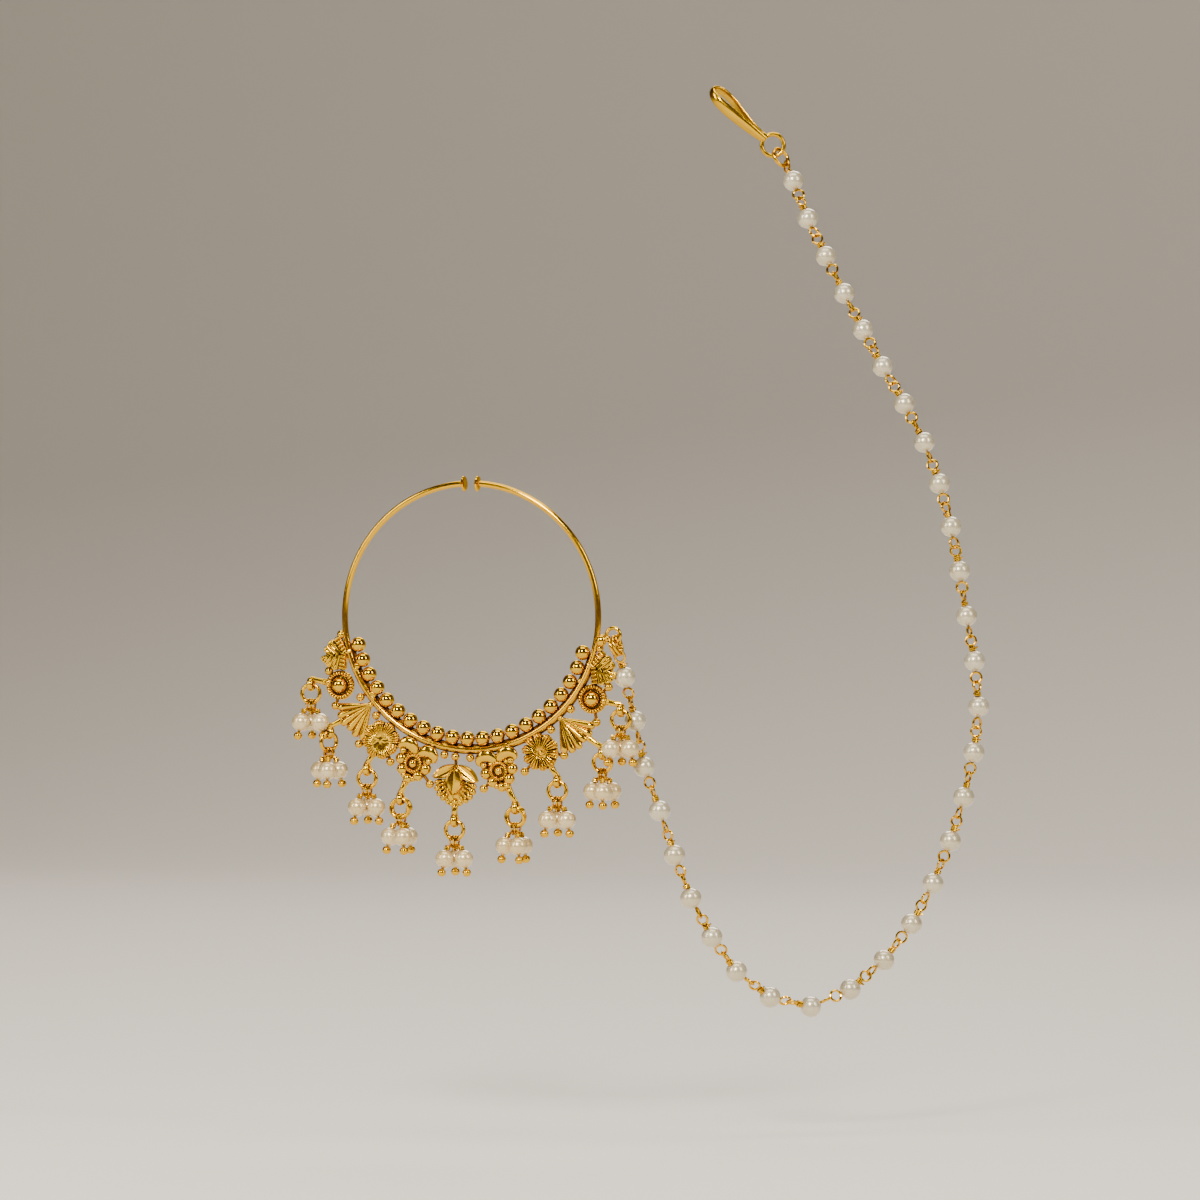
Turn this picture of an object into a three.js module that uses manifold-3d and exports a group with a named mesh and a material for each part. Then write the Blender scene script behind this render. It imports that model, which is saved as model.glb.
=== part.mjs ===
// A nath, the large nose ring of bridal jewellery: a hoop with gold balls inside it and cast flowers
// and leaves outside it, nine drops of three pearls, and a chain of pearls that ends in a hook.
// Millimetres, +Z up, the front facing -Y. The hoop lies in the XZ plane. The origin is the middle
// of the hoop's gap, where it is worn.

import * as THREE from 'three';
import { mergeVertices } from 'three/addons/utils/BufferGeometryUtils.js';
import Module from 'manifold-3d';

const wasm = await Module();
wasm.setup();

// The hoop. Angles on it run from straight down, positive towards -X.
const hoopRadius = 26.4; // to the middle of the wire
const hoopWire = 1.2;
const hoopGap = 2.2; // between the end buttons
const hoopSteps = 40;
const buttonWidth = 3.0;
const buttonThickness = 0.6;

// The row of balls inside the hoop.
const ballWidth = 2.7;
const ballCount = 21;
const firstBall = 76.5;
const lastBall = -73.2;
const ballGap = 0.4; // from the wire to a ball

// The castings outside the hoop, whose flat backs are level with the back of the wire.
const castThickness = 1.2;
const seamBack = 0.35; // how far behind the wire's middle the solder seam starts
const seamThickness = 0.5; // the solder seam that joins the wire, the balls and the castings
const seamReach = 1.5; // how far the seam goes out of the wire
const granuleWidth = 1.7;
const stubWidth = 0.8; // of the stub from a granule to a casting
const leafReach = 2.7;
const rosetteRadius = 3.0;
const rosetteDome = 1.65;
const fanLength = 6.4;
const fanRays = 6;
const fanSpread = 70;
const daisyRadius = 3.5;
const daisyPetals = 12;
const daisyDish = 1.7;
const hornReach = 3.9; // from the middle of a horned flower to the crest of its horns
const hornThickness = 1.5;
const hornEye = 1.9; // radius of the ringed eye of a horned flower
const hornBall = 2.2;
const lotusReach = 4.2; // from the middle of the lotus to the tips of its side leaves
const lotusPetal = 1.75; // half the width of the middle petal
const lotusBell = 3.4; // half the width of the bell under it

// The drops: a strap with an eyelet, a jump ring, and three pearls hung under it.
const strapWidth = 1.0;
const eyeletWire = 0.7;
const dropRingWidth = 4.5; // outside
const dropRingWire = 0.8;
const dropPearl = 3.7;
const dropLength = 5.7; // from the middle of a jump ring down to the middle of its pearls
const pearlGap = 0.05; // between the pearls of a drop
const pinWire = 0.5;
const stemWidth = 1.3; // of the three pins drawn together between the pearls
const stemPast = 1.2; // how far they reach below the middle of the pearls
const linkClearance = 0.3; // between a link's wire and the eye that it passes through
const linkSlack = 0.3; // between the wires of two links that pull on each other

// The chain's fixed loop on the hoop, and the doubled ring in it.
const lumpWidth = 2.6;
const lumpAngle = -80.3;
const loopAngle = -83.3;
const loopOut = 3.3;
const loopWidth = 3.5;
const loopWire = 0.75;
const doubleRingWidth = 4.4;
const doubleRingWire = 0.7;

// The chain of pearls.
const chainPearl = 4.0;
const chainPearls = 31;
const chainWire = 0.45;
const chainEye = 2.6; // outside width of the eye at each end of the chain
const chainHang = new THREE.Vector3(0.29, 0.02, -0.957); // the way it hangs from the fixed loop

// The chain's route from its eye at the hoop to its eye at the hook, counted from the middle of the
// fixed loop.
const chainRoute = [
  [3.2, 4, -16.5], [4.9, 4.3, -25.6], [8.4, 4.7, -35.4], [14.3, 7.2, -53],
  [21.8, 15.8, -68], [27.8, 21.1, -72.9], [35, 26.9, -74.1], [46.7, 35.5, -64.6], [54.7, 40.1, -50.4],
  [60.4, 43, -33], [63.1, 44.5, -14.8], [60.4, 45.3, 3.2], [56.3, 47.4, 22.6], [50.1, 50.3, 38.8],
  [40.2, 53.6, 54.7], [30.8, 58.6, 69.9], [22.2, 62.8, 85.1], [18.9, 65.2, 92], [16.7, 67.8, 95.4],
];

// The hook: a flat strip bent back on itself, an eye ring at its neck, and a link to the chain.
const hookEyeWidth = 5.4;
const hookEyeWire = 0.9;
const stripWidth = 2.6;
const stripThickness = 0.7;
const hookLength = 15.0; // from the middle of the eye ring to where the strip bends
const hookOpening = 3.6; // between the middles of the two legs at the bend
const neckOpening = 0.9; // the same at the neck
const neckLength = 2.4;
const hookLinkLength = 4.7;
const hookLinkWidth = 4.2;
const hookLinkWire = 0.8;
const hookAim = new THREE.Vector3(-0.73, -0.22, 0.64); // from the eye ring towards the bend
const hookBack = new THREE.Vector3(0.15, 0.86, 0.48); // from the front leg towards the back leg
const hookEyeFace = new THREE.Vector3(0.29, -0.956, 0); // the way the eye ring faces
const linkAim = new THREE.Vector3(-0.53, -0.16, 0.83); // from the chain up to the eye ring
const linkTurn = 45; // the link's turn from the eye ring's face, in degrees

// Faces on round things.
const beadSides = 10;
const beadRows = 4;
const granuleSides = 8;
const granuleRows = 3;
const linkSides = 10;
const wireSides = 5;

// Colours.
const material = (name, color, roughness, metalness) => (
  new THREE.MeshStandardMaterial({ name, color, roughness, metalness })
);
const gold = material('gold', 0xd9a52e, 0.28, 1);
const wireGold = material('wire_gold', 0xe0a030, 0.22, 1);
const pearl = material('pearl', 0xf1ece0, 0.25, 0);

const weldDistance = 1e-4;
const hoopCentre = new THREE.Vector3(0, 0, -hoopRadius);
const frontward = new THREE.Vector3(0, -1, 0);
const radians = THREE.MathUtils.degToRad;

// Turns a closed geometry into a solid that can be joined and cut.
function solidOf(geometry) {
  const bare = geometry.clone();
  bare.deleteAttribute('normal');
  bare.deleteAttribute('uv');
  const merged = mergeVertices(bare, weldDistance);
  const corners = merged.index.array;
  const faces = [];
  for (let i = 0; i < corners.length; i += 3) {
    const [a, b, c] = [corners[i], corners[i + 1], corners[i + 2]];
    if (a !== b && b !== c && c !== a) faces.push(a, b, c);
  }
  const vertProperties = new Float32Array(merged.attributes.position.array);
  return new wasm.Manifold(new wasm.Mesh({ numProp: 3, vertProperties, triVerts: new Uint32Array(faces) }));
}

// Joins closed geometries into one solid and gives it back as a geometry.
function fuse(geometries) {
  const whole = geometries.map(solidOf).reduce((sum, next) => sum.add(next));
  const mesh = whole.getMesh();
  const geometry = new THREE.BufferGeometry();
  geometry.setAttribute('position', new THREE.BufferAttribute(new Float32Array(mesh.vertProperties), 3));
  geometry.setIndex(new THREE.BufferAttribute(new Uint32Array(mesh.triVerts), 1));
  const faceted = geometry.toNonIndexed();
  faceted.computeVertexNormals();
  return faceted;
}

// A point in the hoop's plane: how far round, and how far out of the wire's middle.
function hoopPoint(angle, out) {
  const reach = hoopRadius + out;
  const turn = radians(angle);
  return new THREE.Vector3(-reach * Math.sin(turn), 0, hoopCentre.z - reach * Math.cos(turn));
}

// Moves shapes drawn flat (x along the hoop, y away from its middle, z to the front) to their place.
function placeOnHoop(geometries, angle, out) {
  const turn = radians(angle);
  const outward = new THREE.Vector3(-Math.sin(turn), 0, -Math.cos(turn));
  const along = new THREE.Vector3().crossVectors(outward, frontward);
  const matrix = new THREE.Matrix4().makeBasis(along, outward, frontward);
  matrix.setPosition(hoopPoint(angle, out));
  return geometries.map((geometry) => geometry.applyMatrix4(matrix));
}

function bead(width) {
  return new THREE.SphereGeometry(width / 2, beadSides, beadRows);
}

// A solder granule.
function granule(width, x = 0, y = 0, z = 0) {
  const ball = new THREE.SphereGeometry(width / 2, granuleSides, granuleRows);
  return ball.rotateX(Math.PI / 2).translate(x, y, z);
}

// A ring of round wire, given by its outside width, lying in the XY plane.
function wireRing(outside, wire, sides = linkSides) {
  return new THREE.TorusGeometry((outside - wire) / 2, wire / 2, wireSides, sides);
}

// A straight round bar between two points.
function bar(from, to, width, sides = wireSides) {
  const run = new THREE.Vector3().subVectors(to, from);
  const geometry = new THREE.CylinderGeometry(width / 2, width / 2, run.length(), sides);
  const alongY = new THREE.Vector3(0, 1, 0);
  const turn = new THREE.Quaternion().setFromUnitVectors(alongY, run.clone().normalize());
  const middle = new THREE.Vector3().addVectors(from, to).multiplyScalar(0.5);
  return geometry.applyQuaternion(turn).translate(middle.x, middle.y, middle.z);
}

// A round section swept along a curve, closed at both ends.
function sweep(curve, width, steps, sides = 6) {
  const section = new THREE.Shape();
  for (let i = 0; i < sides; i += 1) {
    const turn = (2 * Math.PI * i) / sides;
    const x = (width / 2) * Math.cos(turn);
    const y = (width / 2) * Math.sin(turn);
    if (i === 0) section.moveTo(x, y);
    else section.lineTo(x, y);
  }
  section.closePath();
  return new THREE.ExtrudeGeometry(section, { steps, bevelEnabled: false, extrudePath: curve });
}

// A flat casting: an outline given thickness, from its back at z = back. A crown slopes its edges.
function plate(points, back, thickness, crown = 0) {
  const shape = new THREE.Shape(points.map(([x, y]) => new THREE.Vector2(x, y)));
  const geometry = new THREE.ExtrudeGeometry(shape, {
    depth: thickness,
    bevelEnabled: crown > 0,
    bevelThickness: crown,
    bevelSize: crown,
    bevelOffset: -crown,
    bevelSegments: 1,
  });
  return geometry.translate(0, 0, back + crown);
}

// The two sides of an outline, given its right side.
function mirrored(right) {
  return [...right, ...right.map(([x, y]) => [-x, y]).reverse()];
}

// A pointed leaf along +Y from the origin.
function pointedLeaf(length, halfWidth, back, thickness) {
  const outline = [
    { along: 0, side: 0.12 }, { along: 0.22, side: 0.72 }, { along: 0.5, side: 1 },
    { along: 0.8, side: 0.68 }, { along: 1, side: 0.1 },
  ];
  return plate(mirrored(outline.map((row) => [row.side * halfWidth, row.along * length])), back, thickness);
}

class HoopArc extends THREE.Curve {
  constructor(fromAngle, toAngle) {
    super();
    this.fromAngle = fromAngle;
    this.toAngle = toAngle;
  }

  getPoint(share, target = new THREE.Vector3()) {
    return target.copy(hoopPoint(THREE.MathUtils.lerp(this.fromAngle, this.toAngle, share), 0));
  }
}

const degreesPerMillimetre = 180 / Math.PI / hoopRadius;
const endAngle = 180 - (hoopGap / 2 + buttonThickness / 2) * degreesPerMillimetre;
const castBack = -hoopWire / 2; // in front of the hoop's plane, so the backs lie behind it
const ballOut = -(hoopWire / 2 + ballGap + ballWidth / 2);

function hoopAndButtons() {
  const pieces = [sweep(new HoopArc(endAngle, -endAngle), hoopWire, hoopSteps)];
  for (const angle of [endAngle, -endAngle]) {
    const button = new THREE.CylinderGeometry(buttonWidth / 2, buttonWidth / 2, buttonThickness, linkSides);
    button.rotateZ(Math.PI / 2);
    pieces.push(...placeOnHoop([button], angle, 0));
  }
  return pieces;
}

// The balls inside the hoop, and the solder seam that joins them and the castings to the wire.
function ballsAndSeam() {
  const pieces = [];
  for (let i = 0; i < ballCount; i += 1) {
    const angle = THREE.MathUtils.lerp(firstBall, lastBall, i / (ballCount - 1));
    pieces.push(...placeOnHoop([bead(ballWidth).rotateX(Math.PI / 2)], angle, ballOut));
  }
  const inner = hoopRadius - hoopWire / 2 - ballGap - ballWidth / 6;
  const outer = hoopRadius + seamReach;
  const seam = new THREE.Shape();
  const outline = [];
  for (const [reach, from, to] of [[inner, firstBall, lastBall], [outer, lastBall, firstBall]]) {
    for (let i = 0; i <= ballCount; i += 1) {
      const turn = radians(THREE.MathUtils.lerp(from, to, i / ballCount));
      outline.push(new THREE.Vector2(-reach * Math.sin(turn), -reach * Math.cos(turn)));
    }
  }
  seam.setFromPoints(outline);
  const band = new THREE.ExtrudeGeometry(seam, { depth: seamThickness, bevelEnabled: false });
  band.rotateX(Math.PI / 2).translate(0, seamBack, hoopCentre.z);
  return [...pieces, band];
}

// A lobed leaf with a notched edge, its stalk towards the hoop.
function vineLeaf() {
  const half = [
    { side: 0.1, up: -1 }, { side: 0.75, up: -0.95 }, { side: 0.62, up: -0.45 }, { side: 1, up: -0.2 },
    { side: 0.98, up: 0.25 }, { side: 0.48, up: 0.22 }, { side: 0.62, up: 0.75 }, { side: 0.3, up: 0.98 },
  ];
  const right = half.map((row) => [row.side * leafReach, row.up * leafReach]);
  return [plate(mirrored(right), castBack, castThickness)];
}

// A round boss that stands to the front, given its profile as radius and height.
function boss(profile, sides) {
  const turned = new THREE.LatheGeometry(profile.map(([x, y]) => new THREE.Vector2(x, y)), sides);
  return turned.rotateX(Math.PI / 2);
}

// A dome in a beaded ring.
function rosette() {
  const rim = castBack + castThickness;
  const profile = [
    [0, castBack], [rosetteRadius, castBack], [rosetteRadius - 0.2, rim], [rosetteDome + 0.1, rim - 0.2],
    [rosetteDome * 0.8, rim + rosetteDome * 0.55], [0, rim + rosetteDome * 0.85],
  ];
  return [boss(profile, 12)];
}

// A fan of round-ended rays that spread from a point beside the wire.
function fan() {
  const pieces = [];
  const step = fanSpread / (fanRays - 1);
  const halfEnd = fanLength * Math.tan(radians(step / 2)) * 0.95;
  const outline = [
    { along: 0, side: 0.2 }, { along: 0.86, side: 0.9 }, { along: 1, side: 0.4 },
  ];
  for (let i = 0; i < fanRays; i += 1) {
    const right = outline.map((row) => [row.side * halfEnd, row.along * fanLength]);
    const ray = plate(mirrored(right), castBack, castThickness + 0.25 * (i % 2));
    pieces.push(ray.rotateZ(radians(fanSpread / 2 - i * step)));
  }
  return pieces;
}

// A many-petalled flower with a dished middle.
function daisy() {
  const points = [];
  const notch = 0.86;
  for (let i = 0; i < daisyPetals; i += 1) {
    for (const [share, reach] of [[0, notch], [0.3, 1], [0.7, 1]]) {
      const turn = (2 * Math.PI * (i + share)) / daisyPetals;
      points.push([daisyRadius * reach * Math.cos(turn), daisyRadius * reach * Math.sin(turn)]);
    }
  }
  const face = castBack + castThickness;
  const profile = [
    [0, face - 0.4], [daisyDish + 0.3, face - 0.4], [daisyDish, face + 0.4], [0, face + 0.1],
  ];
  return [plate(points, castBack, castThickness), boss(profile, 10)];
}

// A ringed eye under two curled horns, with balls round it.
function hornedFlower() {
  const pieces = [];
  const face = castBack + castThickness;
  const profile = [
    [0, castBack], [hornEye, castBack], [hornEye - 0.2, face], [hornEye * 0.5, face - 0.2],
    [0, face + 0.45],
  ];
  pieces.push(boss(profile, 10));
  const hornPath = [
    { side: 0.03, up: -0.5 }, { side: 0.3, up: -0.86 }, { side: 0.62, up: -0.97 }, { side: 0.9, up: -0.8 },
    { side: 0.88, up: -0.48 },
  ];
  const balls = [{ side: 0.7, up: 0 }, { side: 0.48, up: 0.52 }];
  for (const hand of [1, -1]) {
    const side = hand * hornReach;
    const points = hornPath.map((row) => new THREE.Vector3(row.side * side, row.up * hornReach, 0));
    pieces.push(sweep(new THREE.CatmullRomCurve3(points), hornThickness, 7));
    for (const row of balls) {
      pieces.push(granule(hornBall, row.side * side, row.up * hornReach));
    }
  }
  pieces.push(granule(hornBall, 0, 0.84 * hornReach));
  return pieces;
}

// A lotus: two side leaves and a ridged middle petal above a bell.
function lotus() {
  const top = -0.68 * lotusReach;
  const sideLeaves = [112, -112].map((turn) => {
    const leaf = pointedLeaf(lotusReach * 1.1, lotusReach * 0.27, castBack, castThickness);
    return leaf.rotateZ(radians(180 + turn)).translate(0, top, 0);
  });
  const ridge = [
    { up: -0.62, side: 0.22 }, { up: -0.2, side: 0.75 }, { up: 0.2, side: 1 }, { up: 0.5, side: 0.8 },
    { up: 0.7, side: 0.3 },
  ];
  const petalRight = ridge.map((row) => [row.side * lotusPetal, row.up * lotusReach]);
  const petal = plate(mirrored(petalRight), castBack, castThickness + 0.3, 0.25);
  const bellHalf = [
    { side: 0.85, up: 0.28 }, { side: 1, up: 0.5 }, { side: 0.85, up: 0.86 }, { side: 0.5, up: 1.14 },
  ];
  const bellRight = bellHalf.map((row) => [row.side * lotusBell, row.up * lotusReach]);
  const bell = plate(mirrored(bellRight), castBack, castThickness, 0.2);
  return [...sideLeaves, petal, bell];
}

// Each casting's place: degrees round the hoop, and how far its middle is out of the wire.
const castings = {
  leftLeaf: { make: vineLeaf, angle: 74.6, out: 3.0 },
  leftRosette: { make: rosette, angle: 63.3, out: 4.3 },
  leftFan: { make: fan, angle: 49.9, out: 0.9 },
  leftDaisy: { make: daisy, angle: 37.3, out: 4.5 },
  leftHorns: { make: hornedFlower, angle: 22.3, out: 5.1 },
  lotus: { make: lotus, angle: 5.5, out: 6.2 },
  rightHorns: { make: hornedFlower, angle: -10.9, out: 4.6 },
  rightDaisy: { make: daisy, angle: -28.7, out: 4.0 },
  rightFan: { make: fan, angle: -43.0, out: 0.9 },
  rightRosette: { make: rosette, angle: -57.4, out: 3.5 },
  rightLeaf: { make: vineLeaf, angle: -69.1, out: 3.0 },
};

// The granules soldered in between. Where one touches no wire, a stub joins it to a casting.
const granules = [
  { angle: 82.3, out: 1.0 }, { angle: 45.0, out: 1.6 }, { angle: 55.0, out: 1.8 },
  { angle: 11.3, out: 1.6 }, { angle: 0.2, out: 1.6 }, { angle: -36.9, out: 1.4 },
  { angle: -48.8, out: 1.2 },
  { angle: 6.6, out: 1.6, joins: 'lotus' }, { angle: 14.4, out: 8.0, joins: 'leftHorns' },
  { angle: 69.7, out: 5.3, joins: 'leftRosette' }, { angle: 57.7, out: 7.1, joins: 'leftRosette' },
  { angle: 42.6, out: 8.2, joins: 'leftDaisy' }, { angle: 30.1, out: 7.1, joins: 'leftDaisy' },
  { angle: -4.6, out: 7.8, joins: 'rightHorns' }, { angle: -20.2, out: 6.2, joins: 'rightDaisy' },
  { angle: -35.4, out: 7.1, joins: 'rightDaisy' }, { angle: -51.5, out: 6.9, joins: 'rightRosette' },
  { angle: -64.3, out: 5.3, joins: 'rightRosette' },
];

// The drops, left to right: the casting that carries each, where its jump ring's middle hangs, how far
// the ring is turned on its eyelet, and how its three pearls stand round it.
const drops = [
  { casting: 'leftRosette', angle: 65.2, out: 10.6, turn: 0, pearls: 90 },
  { casting: 'leftFan', angle: 49.9, out: 12.6, turn: 55, pearls: 270 },
  { casting: 'leftDaisy', angle: 33.9, out: 12.6, turn: 0, pearls: 90 },
  { casting: 'leftHorns', angle: 21.1, out: 14.5, turn: 0, pearls: 180 },
  { casting: 'lotus', angle: 4.6, out: 16.1, turn: 0, pearls: 90 },
  { casting: 'rightHorns', angle: -13.2, out: 14.3, turn: 0, pearls: 180 },
  { casting: 'rightDaisy', angle: -27.6, out: 12.35, turn: 0, pearls: 90 },
  { casting: 'rightFan', angle: -43.6, out: 13.15, turn: 0, pearls: 270 },
  { casting: 'rightRosette', angle: -57.0, out: 10.6, turn: 0, pearls: 0 },
];

const dropRingRadius = (dropRingWidth - dropRingWire) / 2;
const eyeHole = dropRingWire + 2 * linkClearance;

function castingsAndGranules() {
  const pieces = Object.values(castings).flatMap((row) => placeOnHoop(row.make(), row.angle, row.out));
  for (const row of granules) {
    pieces.push(...placeOnHoop([granule(granuleWidth)], row.angle, row.out));
    if (row.joins) {
      const carrier = castings[row.joins];
      pieces.push(bar(hoopPoint(row.angle, row.out), hoopPoint(carrier.angle, carrier.out), stubWidth));
    }
  }
  return pieces;
}

// A strap from its casting to a flat eyelet that stands across the jump ring.
function strapAndEyelet(drop) {
  const middle = hoopPoint(drop.angle, drop.out).add(new THREE.Vector3(0, 0, dropRingRadius));
  const rim = new THREE.Shape();
  rim.absarc(0, 0, eyeHole / 2 + eyeletWire, 0, 2 * Math.PI);
  const hole = new THREE.Path();
  hole.absarc(0, 0, eyeHole / 2, 0, 2 * Math.PI, true);
  rim.holes.push(hole);
  const extrusion = { depth: eyeletWire, bevelEnabled: false, curveSegments: beadSides / 2 };
  const eyelet = new THREE.ExtrudeGeometry(rim, extrusion);
  eyelet.translate(0, 0, -eyeletWire / 2).rotateY(Math.PI / 2).rotateZ(radians(drop.turn));
  eyelet.translate(middle.x, middle.y, middle.z);
  const carrier = castings[drop.casting];
  const top = middle.clone().add(new THREE.Vector3(0, 0, (eyeHole + eyeletWire) / 2));
  return [eyelet, bar(hoopPoint(carrier.angle, carrier.out), top, strapWidth)];
}

// The cast lump at the hoop's side and the fixed loop that carries the chain.
function lumpAndLoop() {
  const lump = bead(lumpWidth).rotateX(Math.PI / 2).scale(1, 0.8, 0.8);
  const loop = wireRing(loopWidth, loopWire);
  return [...placeOnHoop([lump], lumpAngle, 1.0), ...placeOnHoop([loop], loopAngle, loopOut)];
}

function noseRing() {
  return fuse([
    ...hoopAndButtons(), ...ballsAndSeam(), ...castingsAndGranules(),
    ...drops.flatMap(strapAndEyelet), ...lumpAndLoop(),
  ]);
}

// Three pearls under an eye that passes round the bottom of a jump ring. Their pins are drawn
// together into one stem between the pearls. Its origin is the middle of the jump ring.
function pearlDrop(drop) {
  const eye = wireRing(eyeHole + 2 * pinWire, pinWire, beadSides).rotateY(Math.PI / 2);
  eye.rotateZ(radians(drop.turn)).translate(0, 0, -dropRingRadius);
  const stemTop = -dropRingRadius - (eyeHole + pinWire) / 2;
  const stemLength = stemTop + dropLength + stemPast;
  const stem = new THREE.CylinderGeometry(stemWidth / 2, stemWidth / 2, stemLength, 3).rotateX(Math.PI / 2);
  stem.rotateZ(radians(drop.pearls + 90)).translate(0, 0, stemTop - stemLength / 2);
  const pieces = [eye, stem];
  const reach = (dropPearl + pearlGap) / Math.sqrt(3);
  for (let i = 0; i < 3; i += 1) {
    const turn = radians(drop.pearls + 120 * i);
    const side = new THREE.Vector3(Math.cos(turn), Math.sin(turn), 0);
    const middle = side.clone().multiplyScalar(reach).setZ(-dropLength);
    const turned = bead(dropPearl).rotateX(Math.PI / 2).rotateZ(turn);
    pieces.push(turned.translate(middle.x, middle.y, middle.z));
  }
  return fuse(pieces);
}

// Carries a ring lying in the XY plane to its middle and turns it to face along a normal.
function placeRing(ring, middle, normal) {
  const turn = new THREE.Quaternion().setFromUnitVectors(new THREE.Vector3(0, 0, 1), normal);
  return ring.applyQuaternion(turn).translate(middle.x, middle.y, middle.z);
}

// How far apart the middles of two linked rings lie, given each ring's outside width and wire.
function linkStep(widthA, wireA, widthB, wireB) {
  return widthA / 2 - wireA + widthB / 2 - wireB - linkSlack;
}

const loopMiddle = hoopPoint(loopAngle, loopOut);
const hang = chainHang.clone().normalize();
const doubleRingStep = linkStep(loopWidth, loopWire, doubleRingWidth, doubleRingWire);
const doubleRingMiddle = loopMiddle.clone().addScaledVector(hang, doubleRingStep);
const chainStartStep = linkStep(doubleRingWidth, doubleRingWire, chainEye, chainWire);
const chainStart = doubleRingMiddle.clone().addScaledVector(hang, chainStartStep);
const chainPoints = [chainStart, ...chainRoute.map((point) => new THREE.Vector3(...point).add(loopMiddle))];
const chainEnd = chainPoints[chainPoints.length - 1];
const chainCurve = new THREE.CatmullRomCurve3(chainPoints, false, 'centripetal');

// The link between the chain and the hook: its long way, its short way and the way it faces.
const linkUp = linkAim.clone().normalize();
const linkFace = hookEyeFace.clone().addScaledVector(linkUp, -hookEyeFace.dot(linkUp)).normalize();
linkFace.applyAxisAngle(linkUp, radians(linkTurn));
const linkSide = new THREE.Vector3().crossVectors(linkUp, linkFace);

// The chain: pearls at an even pitch, joined by their wire, with an eye at each end.
function pearlChain() {
  const eyeReach = (chainEye - chainWire) / 2;
  const pearls = [];
  for (let i = 0; i < chainPearls; i += 1) pearls.push(chainCurve.getPointAt((i + 0.5) / chainPearls));
  const pieces = pearls.map((middle) => bead(chainPearl).translate(middle.x, middle.y, middle.z));
  for (let i = 1; i < chainPearls; i += 1) pieces.push(bar(pearls[i - 1], pearls[i], chainWire));
  const ends = [
    { eye: chainStart, pearl: pearls[0], face: frontward },
    { eye: chainEnd, pearl: pearls[chainPearls - 1], face: linkSide },
  ];
  for (const end of ends) {
    const run = new THREE.Vector3().subVectors(end.pearl, end.eye).normalize();
    const normal = end.face.clone().addScaledVector(run, -end.face.dot(run)).normalize();
    pieces.push(placeRing(wireRing(chainEye, chainWire, beadSides), end.eye, normal));
    pieces.push(bar(end.eye.clone().addScaledVector(run, eyeReach), end.pearl, chainWire));
  }
  return fuse(pieces);
}

// The doubled ring between the fixed loop and the chain, as one ring twice as thick through.
function doubleRing() {
  const normal = new THREE.Vector3().crossVectors(hang, frontward).normalize();
  const ring = wireRing(doubleRingWidth, doubleRingWire).scale(1, 1, 2);
  return placeRing(ring, doubleRingMiddle, normal);
}

const linkStart = linkStep(chainEye, chainWire, hookLinkLength, hookLinkWire);
const linkMiddle = chainEnd.clone().addScaledVector(linkUp, linkStart);
const hookStep = linkStep(hookLinkLength, hookLinkWire, hookEyeWidth, hookEyeWire);
const hookMiddle = linkMiddle.clone().addScaledVector(linkUp, hookStep);

// The oval link between the chain and the hook's eye ring.
function hookLink() {
  const matrix = new THREE.Matrix4().makeBasis(linkSide, linkUp, linkFace).setPosition(linkMiddle);
  const ring = wireRing(hookLinkLength, hookLinkWire);
  ring.scale((hookLinkWidth - hookLinkWire) / (hookLinkLength - hookLinkWire), 1, 1);
  return ring.applyMatrix4(matrix);
}

// The hook: its strip's side outline runs from the neck up one leg, round the bend and down the other.
function chainHook() {
  const half = stripThickness / 2;
  const neckStart = (hookEyeWidth - hookEyeWire) / 2;
  const front = -neckOpening / 2;
  const back = front + hookOpening;
  const bendMiddle = (front + back) / 2;
  const strip = new THREE.Shape();
  strip.moveTo(neckStart, front - half);
  strip.lineTo(hookLength, front - half);
  strip.absarc(hookLength, bendMiddle, hookOpening / 2 + half, -Math.PI / 2, Math.PI / 2);
  strip.lineTo(neckStart, neckOpening / 2 + half);
  strip.lineTo(neckStart, neckOpening / 2 - half);
  strip.lineTo(hookLength, back - half);
  strip.absarc(hookLength, bendMiddle, hookOpening / 2 - half, Math.PI / 2, -Math.PI / 2, true);
  strip.lineTo(neckStart, front + half);
  strip.closePath();
  const extrusion = { depth: stripWidth, bevelEnabled: false, curveSegments: 8 };
  const bent = new THREE.ExtrudeGeometry(strip, extrusion);
  bent.translate(0, 0, -stripWidth / 2);
  const neck = new THREE.BoxGeometry(neckLength, neckOpening + stripThickness, stripWidth);
  neck.translate(neckStart + neckLength / 2, 0, 0);
  const aim = hookAim.clone().normalize();
  const toBack = hookBack.clone().addScaledVector(aim, -hookBack.dot(aim)).normalize();
  const matrix = new THREE.Matrix4().makeBasis(aim, toBack, new THREE.Vector3().crossVectors(aim, toBack));
  matrix.setPosition(hookMiddle);
  const eye = placeRing(wireRing(hookEyeWidth, hookEyeWire), hookMiddle, hookEyeFace.clone().normalize());
  return fuse([bent.applyMatrix4(matrix), neck.applyMatrix4(matrix), eye]);
}

const group = new THREE.Group();
group.name = 'nath';

function addPiece(name, geometry, look, place = new THREE.Vector3()) {
  const mesh = new THREE.Mesh(geometry, look);
  mesh.name = name;
  mesh.position.copy(place);
  group.add(mesh);
}

addPiece('nose_ring', noseRing(), gold);

drops.forEach((drop, index) => {
  const middle = hoopPoint(drop.angle, drop.out);
  const ring = wireRing(dropRingWidth, dropRingWire).rotateX(Math.PI / 2).rotateZ(radians(drop.turn));
  addPiece(`drop_ring_${index + 1}`, ring, wireGold, middle);
  addPiece(`drop_pearls_${index + 1}`, pearlDrop(drop), pearl, middle);
});

addPiece('chain_ring', doubleRing(), wireGold);
addPiece('pearl_chain', pearlChain(), pearl);
addPiece('hook_link', hookLink(), wireGold);
addPiece('chain_hook', chainHook(), gold);

export default group;
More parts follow.
